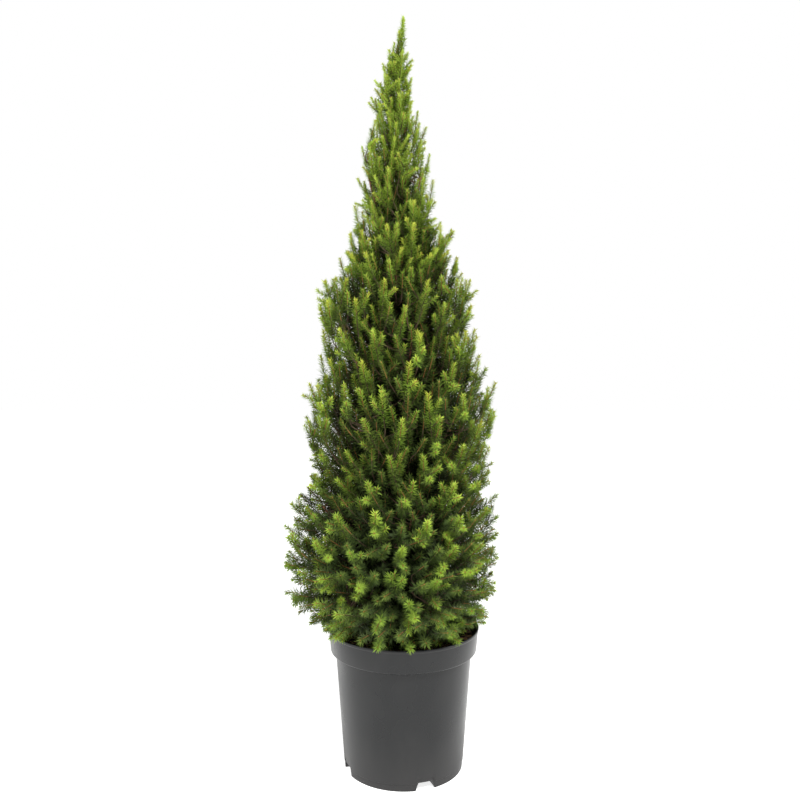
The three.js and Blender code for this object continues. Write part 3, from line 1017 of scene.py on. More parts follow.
    def side_shoots(self, parent: Shoot, rng: np.random.Generator) -> list[Shoot]:
        """Grow the side shoots of a shoot.

        Args:
            parent: the shoot that carries them.
            rng: the generator of their places.

        Returns:
            The side shoots that stay within the crown's outline.
        """
        found = []
        for _ in range(int(rng.integers(*self.side_count)) + self.leader_extra * (parent.age is Age.LEADER)):
            share = rng.uniform(*self.side_place)
            tangent = unit(parent.way + UP * parent.lift * (2 * share - 1))
            across = unit(np.cross(tangent, outward(rng.uniform(0, 360)) + 0.3 * UP))
            angle = math.radians(rng.uniform(*self.side_angle))
            way = unit(tangent * math.cos(angle) + across * math.sin(angle))
            length = parent.length * rng.uniform(*self.side_length)
            root = parent.root + parent.length * (parent.way * share + UP * parent.lift * (share**2 - share))
            tip = root + way * length
            middle = float(self.habit.size(tip[2], self.habit.middles))
            if math.hypot(tip[0] - middle, tip[1]) > self.overshoot + float(self.habit.radius(tip[2])):
                continue
            found.append(
                Shoot(
                    root, way, length, parent.lift, parent.needle * self.side_needle, parent.spread,
                    parent.age, rng.uniform(0, 2 * math.pi), None,
                    parent.vigour * rng.uniform(*self.side_vigour), rng.uniform(*self.side_new),
                )
            )
        return found

    def grow(self, mass: Mass) -> list[Shoot]:
        """Grow the shoots of one mass.

        Args:
            mass: the mass.

        Returns:
            Its source sprays with their side shoots, then the fine shoots of its shells.
        """
        chance = Chance(mass.seed)
        rng = np.random.default_rng(mass.seed)
        tips, found = [], []
        for tip, way, length in self.targets(mass, chance):
            apart = self.apart + self.apart_growth * float(self.habit.radius(tip[2]))
            if any(np.linalg.norm(tip - other) < apart for other in tips):
                continue
            tips.append(tip)
            aside = self.stray + self.top_stray * float(self.habit.upper(tip[2]))
            way = self.strayed(tip, way, length * self.main_length, aside, rng)
            shoot = self.shoot(mass, tip, way, length * self.main_length, Age.MAIN, rng)
            found.append(shoot)
            found.extend(self.side_shoots(shoot, rng))
        if mass.above is None:
            found.extend(self.leader_shoots(mass, rng))
        for inner, outer, apart, age in self.shells:
            found.extend(self.fill(mass, (inner, outer), apart, age, rng))
        return [shoot for shoot in found if self.clear_of_pot(shoot)]

    def clear_of_pot(self, shoot: Shoot) -> bool:
        """Tell whether a shoot's line keeps clear of the pot's wall, within it, over it or outside it."""
        share = np.linspace(0, 1, 9)[:, None]
        line = shoot.root + shoot.length * (shoot.way * share + UP * shoot.lift * (share**2 - share))
        out = np.hypot(line[:, 0], line[:, 1])
        low, beside = line[:, 2] < self.over_rim, (out > self.rim_inside) & (out < self.rim_outside)
        return not np.any(low & beside)

    def leader_shoots(self, mass: Mass, rng: np.random.Generator) -> list[Shoot]:
        """Clothe the leader itself: needles up its last stretch, which ends in the plant's tip.

        Args:
            mass: the topmost mass.
            rng: the generator of the small differences.

        Returns:
            Shoots that lie along the leader, one on another.
        """
        found = []
        for low, high in self.leader_shares:
            foot, tip = mass.line.at(np.array([low, high]))
            length = float(np.linalg.norm(tip - foot))
            shoot = self.shoot(mass, tip, unit(tip - foot), length, Age.MAIN, rng)
            shoot.lift, shoot.origin, shoot.needle = 0.0, None, self.leader_needle
            found.append(shoot)
            found.extend(self.side_shoots(shoot, rng) + self.side_shoots(shoot, rng))
        return found

    def fill(
        self, mass: Mass, shell: tuple[float, float], spacing: float, age: Age, rng: np.random.Generator
    ) -> list[Shoot]:
        """Fill a shell of a mass with fine shoots whose tips keep apart.

        Args:
            mass: the mass.
            shell: its inner and outer share of the crown's radius.
            spacing: how much further apart its tips keep than the finest.
            age: the age of its shoots.
            rng: the generator of their places.

        Returns:
            The shoots.
        """
        found = []
        for _ in range(self.tries):
            turn = mass.turn + mass.width * rng.uniform(-0.5, 0.5)
            share = rng.uniform(*shell)
            low = float(self.habit.cone(mass.tier, share * self.habit.radius(mass.low)))
            high = mass.high
            if mass.above:
                high = float(self.habit.cone(mass.above, share * self.habit.radius(mass.high)))
            height = rng.uniform(low, high)
            if height < self.habit.foot + self.clear_of_soil:
                continue
            radius = float(self.habit.radius(height))
            drawn_in = max(self.least_in, 1 - self.proud / radius) if age is Age.FRESH else 1.0
            tip = self.habit.place(turn, height, share * drawn_in)
            if height < self.rim and math.hypot(tip[0], tip[1]) > self.rim_inside:
                continue
            apart = (self.fine_apart + self.fine_growth * radius) * spacing
            if len(self.tips) and np.min(np.linalg.norm(np.array(self.tips) - tip, axis=1)) < apart:
                continue
            upper = float(self.habit.upper(height))
            length = rng.uniform(*self.fine_length) * (1 - self.fine_drop * upper)
            way = self.strayed(tip, self.habit.way(turn, height), length, self.fine_stray, rng)
            self.tips.append(tip)
            found.append(self.shoot(mass, tip, way, length, age, rng))
        return found

    def run(self) -> dict[str, list[Shoot]]:
        """Grow every mass.

        Returns:
            The shoots of each tier, by the tier's name.
        """
        self.tips: list[np.ndarray] = []
        grown: dict[str, list[Shoot]] = {}
        for mass in self.boughs.masses():
            grown.setdefault(mass.tier.name, []).extend(self.grow(mass))
        return grown


@dataclass
class Foliage:
    """Turns shoots into needles, buds and twigs."""

    # where a shoot's next tint begins, 0 where its new growth does
    paler: tuple[float, ...] = (-0.9, 0.0, 0.62)
    needle_thickness: float = 0.5
    fewest: int = 8
    uneven: float = 0.8  # how unevenly needles follow one another, in steps
    turn_stray: float = 0.25
    lean_stray: float = 7.0
    lengths: tuple[float, float] = (0.78, 1.08)  # how needles of one shoot differ
    new_length: float = 0.78  # of a needle of this year's growth, beside the others
    new_length_low: float = 0.2  # how much longer it is low down, and how much shorter at a shoot's tip
    new_length_tip: float = 0.08
    old_length: float = 0.75  # of a needle at a shoot's root, how much longer the next are, and how soon
    old_length_more: float = 0.25
    old_length_fast: float = 5.0
    low_share: float = 1.2  # how low in the crown the ground is, and the height over which that falls by 1
    low_height: float = 400.0
    outset: float = 0.8  # how far out in its shoot's stem a needle is rooted
    first_needle: float = 0.04  # the share of a shoot at which its needles begin
    crowding: float = 0.8  # below 1 they stand closer towards the tip
    shut: float = 0.12  # how far new needles close on their shoot, and how much more at its tip
    shut_more: float = 0.38
    sink: float = 0.3  # how far needles hang low in the crown, and the height above which none do
    sink_top: float = 480.0
    shoulder: float = 0.36  # the share of a needle's length at which it is widest
    stem_root: float = 0.85
    stem_tip: float = 0.52
    twig_root: float = 1.0
    twig_bend: float = 0.4  # how far a twig runs on in its shoot's way, as a share of its length
    twig_bend_most: float = 40.0  # and the length beyond which it bends no more

    palette: dict[Age, tuple[tuple[Tint, ...], ...]] = field(default_factory=lambda: {
        Age.MAIN: (
            (Tint.MOSS, Tint.GREEN, Tint.LEAF, Tint.SPRING),
            (Tint.MOSS, Tint.GRASS, Tint.SPRING, Tint.FRESH),
            (Tint.GREEN, Tint.GRASS, Tint.SPRING, Tint.FRESH),
            (Tint.GREEN, Tint.LEAF, Tint.FRESH, Tint.LIME),
            (Tint.GRASS, Tint.SPRING, Tint.FRESH, Tint.LEMON),
        ),
        Age.LEADER: (
            (Tint.GRASS, Tint.LEAF, Tint.SPRING, Tint.FRESH),
            (Tint.LEAF, Tint.SPRING, Tint.FRESH, Tint.FRESH),
            (Tint.LEAF, Tint.SPRING, Tint.FRESH, Tint.LIME),
            (Tint.SPRING, Tint.FRESH, Tint.FRESH, Tint.LIME),
        ),
        Age.FRESH: (
            (Tint.DEEP, Tint.MOSS, Tint.GREEN, Tint.GRASS),
            (Tint.MOSS, Tint.GREEN, Tint.GRASS, Tint.LEAF),
            (Tint.MOSS, Tint.GREEN, Tint.LEAF, Tint.SPRING),
            (Tint.MOSS, Tint.GRASS, Tint.SPRING, Tint.FRESH),
            (Tint.GREEN, Tint.GRASS, Tint.SPRING, Tint.LIME),
        ),
        # grown shoots: dark rows, partly older needles and partly painted shade between the outer shoots
        Age.GROWN: (
            (Tint.SHADE, Tint.DEEP, Tint.MOSS, Tint.GREEN),
            (Tint.DEEP, Tint.MOSS, Tint.GREEN, Tint.GRASS),
            (Tint.DEEP, Tint.MOSS, Tint.GREEN, Tint.GRASS),
            (Tint.GREEN, Tint.GRASS, Tint.LEAF, Tint.SPRING),
        ),
        # inner shoots: near-black rows, partly old needles and partly painted shade inside the crown
        Age.INNER: (
            (Tint.SHADE, Tint.SHADE, Tint.SHADE, Tint.DEEP),
            (Tint.SHADE, Tint.SHADE, Tint.DEEP, Tint.DEEP),
            (Tint.SHADE, Tint.DEEP, Tint.DEEP, Tint.MOSS),
            (Tint.MOSS, Tint.GREEN, Tint.GREEN, Tint.GRASS),
        ),
    })

    def needles(self, shoots: list[Shoot], seed: int) -> Surface:
        """Grow the needles of many shoots at once.

        A needle leaves its shoot at its share of the length, a golden turn after the one before. On this
        year's growth the needles are shorter and lean forward more and more towards the blunt tip. Each is a
        slim closed spindle of four faces: a root, a point and two shoulders a third of the way out.

        Args:
            shoots: the shoots.
            seed: the seed of the needles' small differences.

        Returns:
            The needles as one surface, whose finish numbers follow the order of Tint.
        """
        rng = np.random.default_rng(seed)
        lengths = each(shoots, "length")
        counts = np.maximum((lengths * np.array([s.age.dense for s in shoots])).astype(int), self.fewest)
        owner = np.repeat(np.arange(len(shoots)), counts)
        rank = np.arange(len(owner)) - np.repeat(np.cumsum(counts) - counts, counts)
        even = (rank + rng.uniform(0, self.uneven, len(owner))) / counts[owner]
        share = self.first_needle + (1 - self.first_needle) * even**self.crowding
        way = each(shoots, "way")[owner]
        lift = each(shoots, "lift")[owner, None] * UP
        root = each(shoots, "root")[owner]
        reach = lengths[owner, None]
        base = root + reach * ((way - lift) * share[:, None] + lift * share[:, None] ** 2)
        along = unit(way - lift + 2 * lift * share[:, None])
        side = unit(np.cross(along, np.where(np.abs(along[:, 2:]) < 0.9, UP, np.array([1.0, 0, 0]))))
        round_turn = rank * GOLDEN + each(shoots, "turn")[owner]
        round_turn = round_turn + rng.normal(0, self.turn_stray, len(owner))
        radial = side * np.cos(round_turn)[:, None] + np.cross(along, side) * np.sin(round_turn)[:, None]
        new = each(shoots, "new")[owner]
        fresh = (share - 1 + new) / new
        shut = np.where(fresh > 0, self.shut + self.shut_more * np.clip(fresh, 0, 1) ** 3, 0.0)
        spread = each(shoots, "spread")[owner] * (1 - shut)
        lean = np.radians(spread + rng.normal(0, self.lean_stray, len(owner)))
        sink = np.array([self.sink * max(0.0, 1 - s.tip[2] / self.sink_top) for s in shoots])[owner]
        point = unit(along * np.cos(lean)[:, None] + radial * np.sin(lean)[:, None] - UP * sink[:, None])
        size = each(shoots, "needle")[owner] * rng.uniform(*self.lengths, len(owner))
        # in the lower crown the new needles are as long as the old
        low = np.clip(self.low_share - root[:, 2] / self.low_height, 0, 1)
        new_length = self.new_length + self.new_length_low * low - self.new_length_tip * np.clip(fresh, 0, 1)
        old_length = self.old_length + self.old_length_more * np.clip(share * self.old_length_fast, 0, 1)
        size *= np.where(fresh > 0, new_length, old_length)
        start = base + radial * self.stem_tip * self.outset
        across = unit(np.cross(point, radial + 0.01 * UP))
        above = np.cross(point, across)
        shoulder = start + point * (size * self.shoulder)[:, None] + above * self.needle_thickness
        half = across * (np.array([s.age.wide for s in shoots])[owner, None] / 2)
        ends = [start, start + point * size[:, None], shoulder + half, shoulder - half]
        # the two shoulders lie to the same side of the needle's line as above, so this order faces out
        order = [[0, 2, 3], [1, 3, 2], [0, 1, 2], [0, 3, 1]]
        return scraps(ends, order, self.tints(shoots, owner, fresh, rng))

    def tints(
        self, shoots: list[Shoot], owner: np.ndarray, fresh: np.ndarray, rng: np.random.Generator
    ) -> np.ndarray:
        """Deal out the tints: each shoot has one row of its age's palette, paler towards its tip.

        Args:
            shoots: the shoots.
            owner: the shoot of each needle.
            fresh: each needle's share of its shoot's new growth, below 0 on older wood.
            rng: the generator of the edges between tints.

        Returns:
            The tint number of each needle.
        """
        numbers = {tint: i for i, tint in enumerate(Tint)}
        rows = []
        for shoot in shoots:
            choices = self.palette[shoot.age]
            # the row follows the shoot's vigour, which carries painted shade at the crown's foot and painted
            # light near its top
            row = int(min(max(shoot.vigour, 0.0), 0.999) * len(choices))
            rows.append([numbers[t] for t in choices[row]])
        step = np.searchsorted(self.paler, fresh + rng.normal(0, 0.1, len(fresh)))
        return np.array(rows)[owner, step]

    def stems(self, shoots: list[Shoot]) -> Surface:
        """Carry each shoot's own stem along its line, dark as far as its new growth and fresh beyond.

        Args:
            shoots: the shoots.

        Returns:
            The stems, from the ends of their twigs to the tips.
        """
        new = each(shoots, "new")
        rings = [0 * new, 0.45 * (1 - new), np.clip(1 - new, 0.05, 0.9), 0 * new + 0.97]
        share = np.stack(rings, axis=1)[..., None]
        root = each(shoots, "root")[:, None]
        reach = np.array([s.way * s.length for s in shoots])[:, None]
        lift = np.array([UP * s.lift * s.length for s in shoots])[:, None]
        middles = root + (reach - lift) * share + lift * share**2
        radii = np.linspace(self.stem_root, self.stem_tip, 4)[None] * np.ones((len(shoots), 1))
        stems = tubes(middles, radii, 3, np.ones(len(shoots), dtype=int))
        young = stems.finish.reshape(len(shoots), -1)  # a view, so the next lines change the stems
        outer = np.array([s.age is not Age.INNER for s in shoots])
        young[:, 12:18] = np.where(outer, 0, 1)[:, None]  # the six faces of the third stretch
        return stems

    def twigs(self, shoots: list[Shoot]) -> Surface:
        """Carry a twig from each stem to the shoot that it bears, bending into the shoot's own way."""
        carried = [s for s in shoots if s.origin is not None]
        share = np.linspace(0, 1, 5)[:, None]
        middles = []
        for s in carried:
            start = unit(s.way - UP * s.lift)
            reach = min(float(np.linalg.norm(s.root - s.origin)), self.twig_bend_most)
            bend = s.root - start * self.twig_bend * reach
            middles.append((1 - share) ** 2 * s.origin + 2 * share * (1 - share) * bend + share**2 * s.root)
        radii = np.linspace(self.twig_root, self.stem_root, 5)[None] * np.ones((len(carried), 1))
        return tubes(np.array(middles), radii, 3, np.ones(len(carried), dtype=int))

    def buds(self, shoots: list[Shoot]) -> Surface:
        """Close each outer shoot with its bud: a small blunt cone round the end of its line."""
        outer = [s for s in shoots if s.age in (Age.MAIN, Age.LEADER, Age.FRESH)]
        profile = np.array([[-0.6, 0.5], [0.6, 1.0], [2.2, 0.12]])
        middles = np.array([s.tip + unit(s.way + UP * s.lift) * profile[:, :1] for s in outer])
        radii = profile[None, :, 1] * np.ones((len(outer), 1))
        return tubes(middles, radii, 4, np.full(len(outer), 2))


@dataclass
class Limbs:
    """The trunk, the boughs and their stems, with the relief of their bark."""

    form: TrunkForm = TrunkForm()
    sides: int = 40
    steps: int = 300
    crowding: float = 1.25  # above 1 the rings stand closer towards the foot
    flake: float = 2.2  # size of the bark's flakes, and how much they are drawn out upward
    flake_tall: float = 0.4
    relief: float = 0.45
    stem_from: float = 0.38  # the share of a limb's length at which its bough gives way to its stem
    stem_end: float = 1.0
    bough_relief: float = 0.25

    def trunk(self) -> Surface:
        """Work out the trunk.

        A point is the trunk's middle at its height plus, outward at its angle, the radius there, times
        one plus a cosine of five times the angle in the root flare, plus the bark's flakes.

        Returns:
            The trunk from its flat foot to its tip, closed at both ends.
        """
        share = np.linspace(0, 1, self.steps) ** self.crowding
        height = self.form.foot + share * (self.form.tip - self.form.foot)
        angle = np.arange(self.sides) * 2 * math.pi / self.sides
        flare = self.form.lobe_depth * np.exp(-(height - self.form.foot) / self.form.flare_height)
        lobed = 1 + flare[:, None] * np.cos(self.form.lobes * angle)[None]
        radius = self.form.radius(height)[:, None] * lobed
        ring = np.stack([np.cos(angle), np.sin(angle), np.zeros_like(angle)], axis=-1)
        middle = self.form.middle(height)[:, None]
        points = middle + radius[..., None] * ring[None]
        squashed = points * np.array([1.0, 1.0, self.flake_tall])
        flakes = roughened(squashed, self.flake, 5) + 0.5 * roughened(squashed, self.flake / 2, 6)
        points = points + (self.relief * flakes * np.clip(radius / 8, 0.2, 1))[..., None] * ring[None]
        points[0, :, 2] = self.form.foot
        faces = capped_faces(self.steps, self.sides)
        return Surface(points.reshape(-1, 3), faces, np.zeros(len(faces), dtype=int))

    def boughs(self, masses: list[Mass]) -> Surface:
        """Work out every bough with the stem that goes on from it, tapering all the way.

        Args:
            masses: the masses that they carry.

        Returns:
            The limbs as one surface.
        """
        share = np.linspace(0, 1, 30)
        paths, radii = [], []
        for mass in masses:
            paths.append(mass.line.at(share))
            if mass.bough is None:
                radii.append(np.interp(share, [0, 1], [self.form.tip_radius, self.form.leader_radius]))
            else:
                thick, thin = mass.bough
                radii.append(np.interp(share, [0, self.stem_from, 1], [thick, thin, self.stem_end]))
        limbs = tubes(np.array(paths), np.array(radii), 8, np.zeros(len(masses), dtype=int))
        relief = self.bough_relief * roughened(limbs.points, 2.4, 9)[:, None]
        limbs.points += relief * unit(roughened_vector(limbs.points))
        return limbs


def roughened_vector(points: np.ndarray) -> np.ndarray:
    """Give a smooth random direction at points."""
    return np.stack([roughened(points, 6.0, seed) + 0.01 for seed in (21, 22, 23)], axis=-1)


# ---------------------------------------------------------------- pot and soil


@dataclass
class Pot:
    """The moulded pot: a tapered wall, a collar with a lip, and drain notches in its foot."""

    height: float = 200.0
    foot_radius: float = 83.1
    foot_spread: float = 0.5
    step_height: float = 9.5
    step_out: float = 0.7
    waist_radius: float = 95.2
    collar_radius: float = 102.5
    collar_height: float = 31.4
    ledge_drop: float = 4.0
    ledge_edge: float = 1.1
    ledge_slope: float = 0.5
    rim_radius: float = 105.6
    lip_height: float = 3.4
    lip_out: float = 0.8
    wall: float = 2.0
    floor: float = 3.0
    columns: int = 288
    drain_count: int = 4
    drain_turn: float = 20.5
    drain_width: float = 27.0
    drain_top: float = 21.0
    drain_height: float = 11.0
    drain_inner: float = 58.0
    drain_press: float = 24.0  # the height below which the notches press the wall up

    def notch(self, turn: np.ndarray, radius: np.ndarray, skin: float) -> np.ndarray:
        """Give how far the drain notches raise the pot's underside.

        Across each notch the height is full within its top width and falls in a straight slope to
        nothing at its foot's width. Inward it ends in a step.

        Args:
            turn: the direction of each point in degrees.
            radius: its distance from the pot's axis.
            skin: how much wider the notch is taken on every side.

        Returns:
            The rise in millimetres.
        """
        step = 360 / self.drain_count
        off = (turn - self.drain_turn + step / 2) % step - step / 2
        across = np.abs(radius * np.sin(np.radians(off)))
        wide, narrow = self.drain_width / 2 + skin, self.drain_top / 2 + skin
        rise = np.clip((wide - across) / (wide - narrow), 0, 1)
        return (self.drain_height + skin * (rise > 0)) * rise * (radius > self.drain_inner - skin)

    def ledge(self, inset: float) -> list[tuple[float, float]]:
        """Give the bend of the wall into its collar, moved in by an inset."""
        ledge = self.height - self.collar_height
        lift = inset * self.ledge_slope
        return [
            (self.waist_radius - inset, ledge - self.ledge_drop),
            (self.waist_radius + 0.9 - inset, ledge - self.ledge_drop + 1.0),
            (self.collar_radius - self.ledge_edge - inset, ledge - self.ledge_edge + lift),
            (self.collar_radius - 0.25 - inset, ledge - 0.25 + lift),
            (self.collar_radius - inset, ledge + 0.6 + lift),
        ]

    def profile(self) -> np.ndarray:
        """Give the half section, from the middle of the underside round to the middle of the floor."""
        foot = self.foot_radius + self.foot_spread
        under = [(r, 0.0) for r in (20, 40, 55, 57.6, 58.4, 64, 70, 76, 80, 82.4)]
        wall = [
            (self.foot_radius, 0.5), (self.foot_radius + 0.2, 3.5), (foot - 0.1, 7), (foot, self.step_height)
        ]
        top = self.height - self.collar_height - self.ledge_drop
        step = self.step_height + self.step_out
        stepped = foot + self.step_out
        rises = [
            (stepped + s * (self.waist_radius - foot - self.step_out), step + s * (top - step))
            for s in np.linspace(0, 0.97, 14)
        ]
        lip = [
            (self.rim_radius - self.lip_out, self.height - self.lip_height - self.lip_out),
            (self.rim_radius - 0.15, self.height - self.lip_height - 0.1),
            (self.rim_radius, self.height - self.lip_height + 0.5),
            (self.rim_radius, self.height - 1.2),
            (self.rim_radius - 0.3, self.height - 0.35),
            (self.rim_radius - 0.9, self.height),
            (self.rim_radius - 1.5, self.height),
            (self.rim_radius - self.wall, self.height - 0.7),
        ]
        inside = [(r, z) for r, z in reversed(self.ledge(self.wall))]
        down = [
            (foot - self.wall + s * (self.waist_radius - foot), self.floor + s * (top - self.floor))
            for s in np.linspace(0.9, 0, 8)
        ]
        floor = [(r, self.floor) for r in (78, 74, 68, 62, 56.4, 55.6, 40, 20)]
        return np.array(under + wall + rises + self.ledge(0.0) + lip + inside + down + floor)

    def surface(self) -> Surface:
        """Turn the half section round the axis and raise the drain notches.

        A point's height is its profile's height, and below drain_press it is pressed up towards that
        height by the notch at its turn.

        Returns:
            The closed shell.
        """
        profile = self.profile()
        turn = np.arange(self.columns) * 360 / self.columns
        radius = profile[:, :1] * np.ones((1, self.columns))
        height = profile[:, 1:] * np.ones((1, self.columns))
        inner = np.arange(len(profile))[:, None] > np.argmax(profile[:, 1])
        rise = np.where(inner, self.notch(turn[None], radius, self.wall), self.notch(turn[None], radius, 0.0))
        base = np.where(inner, self.floor, 0.0)
        share = np.clip(1 - (height - base) / self.drain_press, 0, 1)
        height = np.where(height < self.drain_press, height + rise * share, height)
        angle = np.radians(turn)
        points = np.stack([radius * np.sin(angle), -radius * np.cos(angle), height], axis=-1)
        poles = np.array([[0.0, 0.0, 0.0], [0.0, 0.0, self.floor]])
        faces = poled_faces(len(profile), self.columns)
        return Surface(np.concatenate([points.reshape(-1, 3), poles]), faces, np.zeros(len(faces), dtype=int))


@dataclass
class Soil:
    """Damp peat with crumbs, chips and fallen needles on it."""

    radius: float = 100.4
    height: float = 182.0
    crown_height: float = 184.0
    crown_radius: float = 62.0
    columns: int = 180
    rings: int = 70
    chips: int = 900
    fallen: int = 900
    lumps: tuple[tuple[float, float, int], ...] = (  # height, size and seed of each kind of lump
        (1.3, 16.0, 3), (0.8, 6.0, 4), (0.5, 2.4, 7)
    )
    fallen_length: tuple[float, float] = (7, 11)
    fallen_width: float = 0.9
    chip_length: tuple[float, float] = (2, 6)
    chip_width: tuple[float, float] = (1.2, 3.2)
    scrap_tilt: tuple[float, float] = (-0.08, 0.22)
    scrap_height: float = 0.7
    faded: float = 0.6  # the share of the fallen needles that have gone brown
    underside: float = 18.0
    sides: tuple[tuple[float, float], ...] = (  # radius and height, from under the top to the underside
        (99.9, 171.0), (92.4, 164.0), (81.6, 18.0), (30.0, 18.0)
    )

    def level(self, points: np.ndarray) -> np.ndarray:
        """Give the soil's height at level places: a low crown with lumps and crumbs."""
        radius = np.hypot(points[..., 0], points[..., 1])
        share = np.clip((self.radius - radius) / (self.radius - self.crown_radius), 0, 1)
        flat = np.stack([points[..., 0], points[..., 1], np.zeros_like(radius)], axis=-1)
        lumps = sum(high * roughened(flat, size, seed) for high, size, seed in self.lumps)
        hold = np.clip((radius - 16) / 10, 0.25, 1)
        return self.height + (self.crown_height - self.height) * share - 0.6 + lumps * hold

    def surface(self) -> Surface:
        """Work out the soil: rings from the middle of its top outward, then its side and underside.

        Returns:
            The closed surface.
        """
        turn = np.arange(self.columns) * 360 / self.columns
        radius = np.linspace(2, self.radius, self.rings)[:, None] * np.ones((1, self.columns))
        top = radius[..., None] * outward(turn)[None]
        top[..., 2] = self.level(top)
        side = np.array(self.sides)
        side = side[:, :1, None] * outward(turn)[None] + side[:, 1:, None] * UP
        points = np.concatenate([top, side]).reshape(-1, 3)
        poles = np.array([[0.0, 0.0, float(self.level(np.zeros(3)))], [0.0, 0.0, self.underside]])
        faces = poled_faces(self.rings + len(side), self.columns)[:, ::-1]
        return Surface(np.concatenate([points, poles]), faces, np.zeros(len(faces), dtype=int))

    def litter(self) -> Surface:
        """Scatter flat chips of bark and fallen needles on the soil.

        Returns:
            The litter, each scrap a closed shape of four faces.
        """
        rng = np.random.default_rng(41)
        count = self.chips + self.fallen
        radius = (self.radius - 5) * np.sqrt(rng.uniform(0.03, 1, count))
        place = radius[:, None] * outward(rng.uniform(0, 360, count))
        place[:, 2] = self.level(place) + 0.2
        needle = np.arange(count) >= self.chips
        fallen_length = rng.uniform(*self.fallen_length, count)
        length = np.where(needle, fallen_length, rng.uniform(*self.chip_length, count))
        width = np.where(needle, self.fallen_width, rng.uniform(*self.chip_width, count))
        way = outward(rng.uniform(0, 360, count)) + UP * rng.uniform(*self.scrap_tilt, count)[:, None]
        across = unit(np.cross(UP, way))
        middle = place + UP * self.scrap_height
        half = across * (width / 2)[:, None]
        ends = way * (length / 2)[:, None]
        corners = [place - ends, place + ends, middle + half, middle - half]
        finish = np.where(needle, np.where(rng.random(count) < self.faded, 1, 2), 0)
        return scraps(corners, [[0, 3, 2], [1, 2, 3], [0, 2, 1], [0, 1, 3]], finish)


# ---------------------------------------------------------------- studio


@dataclass
class Studio:
    """A pale floor, a soft white room and the camera."""

    focal: float = 39.34  # mm on a 36 mm sensor
    distance: float = 1.2066
    eye: float = 0.6038
    pitch: float = 4.097  # degrees down
    aside: float = -0.00507
    floor_side: float = 6.0
    floor_glow: float = 0.8
    room: float = 0.22
    lights: tuple[tuple[str, tuple[float, float, float], float, float], ...] = (  # name, place, side, watts
        ("key", (0.9, -1.8, 2.9), 0.8, 120.0),
        ("fill", (-1.9, -1.3, 1.4), 1.2, 34.0),
        ("right_panel", (1.7, -0.3, 0.4), 0.8, 5.5),
        ("left_panel", (-1.7, -0.3, 0.4), 0.8, 2.0),
    )

    def floor(self) -> None:
        """Lay a wide pale floor under the pot."""
        side = self.floor_side
        mesh = bpy.data.meshes.new("studio_floor")
        corners = [(-side, -side, 0), (side, -side, 0), (side, side, 0), (-side, side, 0)]
        mesh.from_pydata(corners, [], [(0, 1, 2, 3)])
        white = (1.0, 1.0, 1.0, 1.0)
        look = {"Roughness": 0.8, "Emission_Color": white, "Emission_Strength": self.floor_glow}
        mesh.materials.append(new_material("painted_floor", Base_Color=linear("#f4f4f2"), **look)[0])
        floor = bpy.data.objects.new("studio_floor", mesh)
        bpy.context.scene.collection.objects.link(floor)

    def light(self, name: str, place: tuple[float, float, float], size: float, power: float) -> None:
        """Hang one soft square light that faces the crown's middle.

        Args:
            name: its name.
            place: where it hangs, in metres.
            size: its side in metres.
            power: its power in watts.
        """
        data = bpy.data.lights.new(name, "AREA")
        data.size = size
        data.energy = power
        lamp = bpy.data.objects.new(name, data)
        lamp.location = place
        aim = np.array([0.0, 0.0, 0.5]) - np.array(place)
        level = math.hypot(aim[0], aim[1])
        lamp.rotation_euler = (math.atan2(level, -aim[2]), 0.0, math.atan2(-aim[0], aim[1]))
        bpy.context.scene.collection.objects.link(lamp)

    def build(self) -> None:
        """Set up the floor, the light and the camera."""
        scene = bpy.context.scene
        scene.view_settings.view_transform = "Standard"
        self.floor()
        world = bpy.data.worlds.new("white_room")
        world.use_nodes = True
        world.node_tree.nodes["Background"].inputs["Color"].default_value = (1.0, 1.0, 1.0, 1.0)
        nodes, links = world.node_tree.nodes, world.node_tree.links
        seen = nodes.new("ShaderNodeBackground")
        mix = nodes.new("ShaderNodeMixShader")
        links.new(nodes.new("ShaderNodeLightPath").outputs["Is Camera Ray"], mix.inputs[0])
        links.new(nodes["Background"].outputs[0], mix.inputs[1])
        links.new(seen.outputs[0], mix.inputs[2])
        links.new(mix.outputs[0], nodes["World Output"].inputs[0])
        seen.inputs["Color"].default_value = (1.0, 1.0, 1.0, 1.0)
        nodes["Background"].inputs["Strength"].default_value = self.room
        scene.world = world
        for lamp in self.lights:
            self.light(*lamp)
        data = bpy.data.cameras.new("camera")
        data.lens = self.focal
        data.sensor_width = 36.0
        camera = bpy.data.objects.new("camera", data)
        camera.location = (self.aside, -self.distance, self.eye)
        camera.rotation_euler = (math.radians(90 - self.pitch), 0.0, 0.0)
        scene.collection.objects.link(camera)
        scene.camera = camera


# ---------------------------------------------------------------- the plant


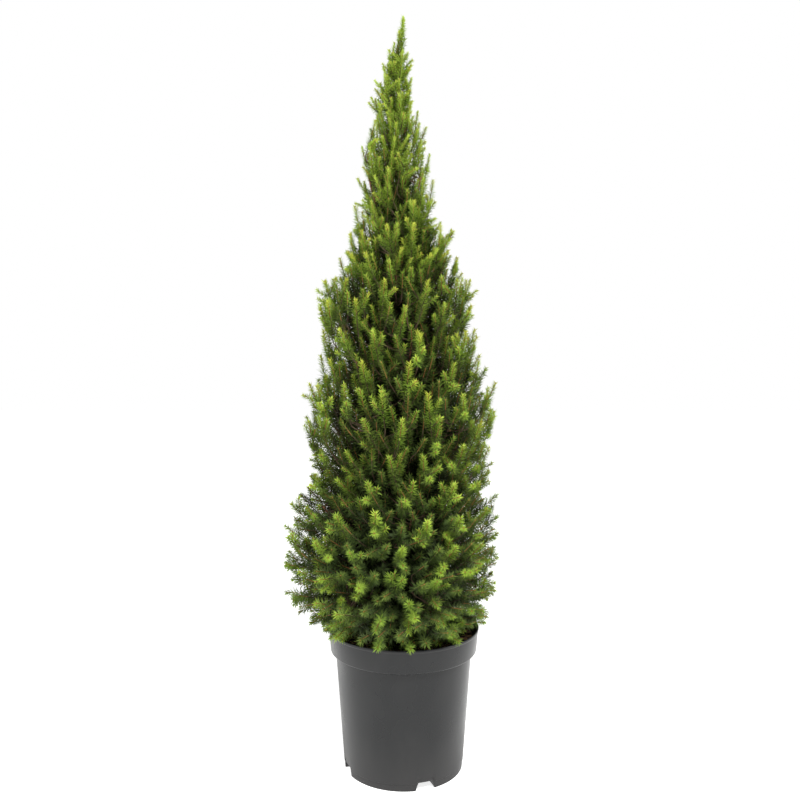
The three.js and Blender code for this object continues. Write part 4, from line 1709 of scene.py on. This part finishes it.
@dataclass
class Spruce:
    """The whole plant, built from its pot up."""

    growth: Growth = field(default_factory=Growth)
    foliage: Foliage = field(default_factory=Foliage)
    limbs: Limbs = field(default_factory=Limbs)
    pot: Pot = field(default_factory=Pot)
    soil: Soil = field(default_factory=Soil)

    def build_pot(self) -> None:
        """Make the pot and what it holds."""
        pot = self.pot.surface().piece("pot_shell", [MouldedPolypropylene().material()], "pot_plastic", 32)
        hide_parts("pot")
        soil = self.soil.surface().piece("soil_bed", [DampPeat().material()], "potting_soil", 50)
        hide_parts("soil")
        litter = [
            Twigwood("bark_chip", "#4b3220", 0.9).material(),
            Twigwood("fallen_needle", "#8a6a3c").material(),
            Needle(Tint.OLIVE).material(),
        ]
        self.soil.litter().piece("soil_litter", litter, "potting_soil")

    def build_limbs(self, masses: list[Mass]) -> None:
        """Make the trunk and the boughs."""
        bark = ScalyBark().material()
        trunk = self.limbs.trunk().piece("trunk_bark", [bark], "bark", 60)
        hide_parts("trunk")
        boughs = self.limbs.boughs(masses).piece("bough_bark", [bark], "bark", 60)
        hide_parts(*[f"bough_{m.tier.name}{m.number}" for m in masses if m.bough is not None])

    def build_foliage(self, masses: list[Mass]) -> None:
        """Make the needles of each tier, and the twigs and buds of the whole crown."""
        grown = self.growth.run()
        greens = [Needle(tint).material() for tint in Tint]
        for index, (name, shoots) in enumerate(grown.items()):
            outer = [s for s in shoots if s.age is not Age.INNER]
            inner = [s for s in shoots if s.age is Age.INNER]
            piece = self.foliage.needles(outer, 100 + index).piece("needles_" + name, greens, "needles")
            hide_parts(*[m.node for m in masses if m.tier.name == name])
            self.foliage.needles(inner, 200 + index).piece("inner_needles_" + name, greens, "needles")
        everything = [shoot for shoots in grown.values() for shoot in shoots]
        LOG.info("%d shoots", len(everything))
        wood = [
            Twigwood("young_spruce_twig", "#875a2e").material(),
            Twigwood("old_spruce_twig", "#463522").material(),
            Twigwood("spruce_bud", "#96702f", 0.6).material(),
        ]
        stems = [self.foliage.stems(everything), self.foliage.buds(everything)]
        Surface.joined(stems).piece("shoot_stems_and_buds", wood, "bark")
        self.foliage.twigs(everything).piece("bare_twigs", wood, "bark")


def main() -> None:
    """Build the studio and the plant."""
    logging.basicConfig(level=logging.INFO, format="%(message)s")
    Studio().build()
    spruce = Spruce()
    masses = spruce.growth.boughs.masses()
    spruce.build_pot()
    spruce.build_limbs(masses)
    spruce.build_foliage(masses)


if __name__ == "__main__":
    main()
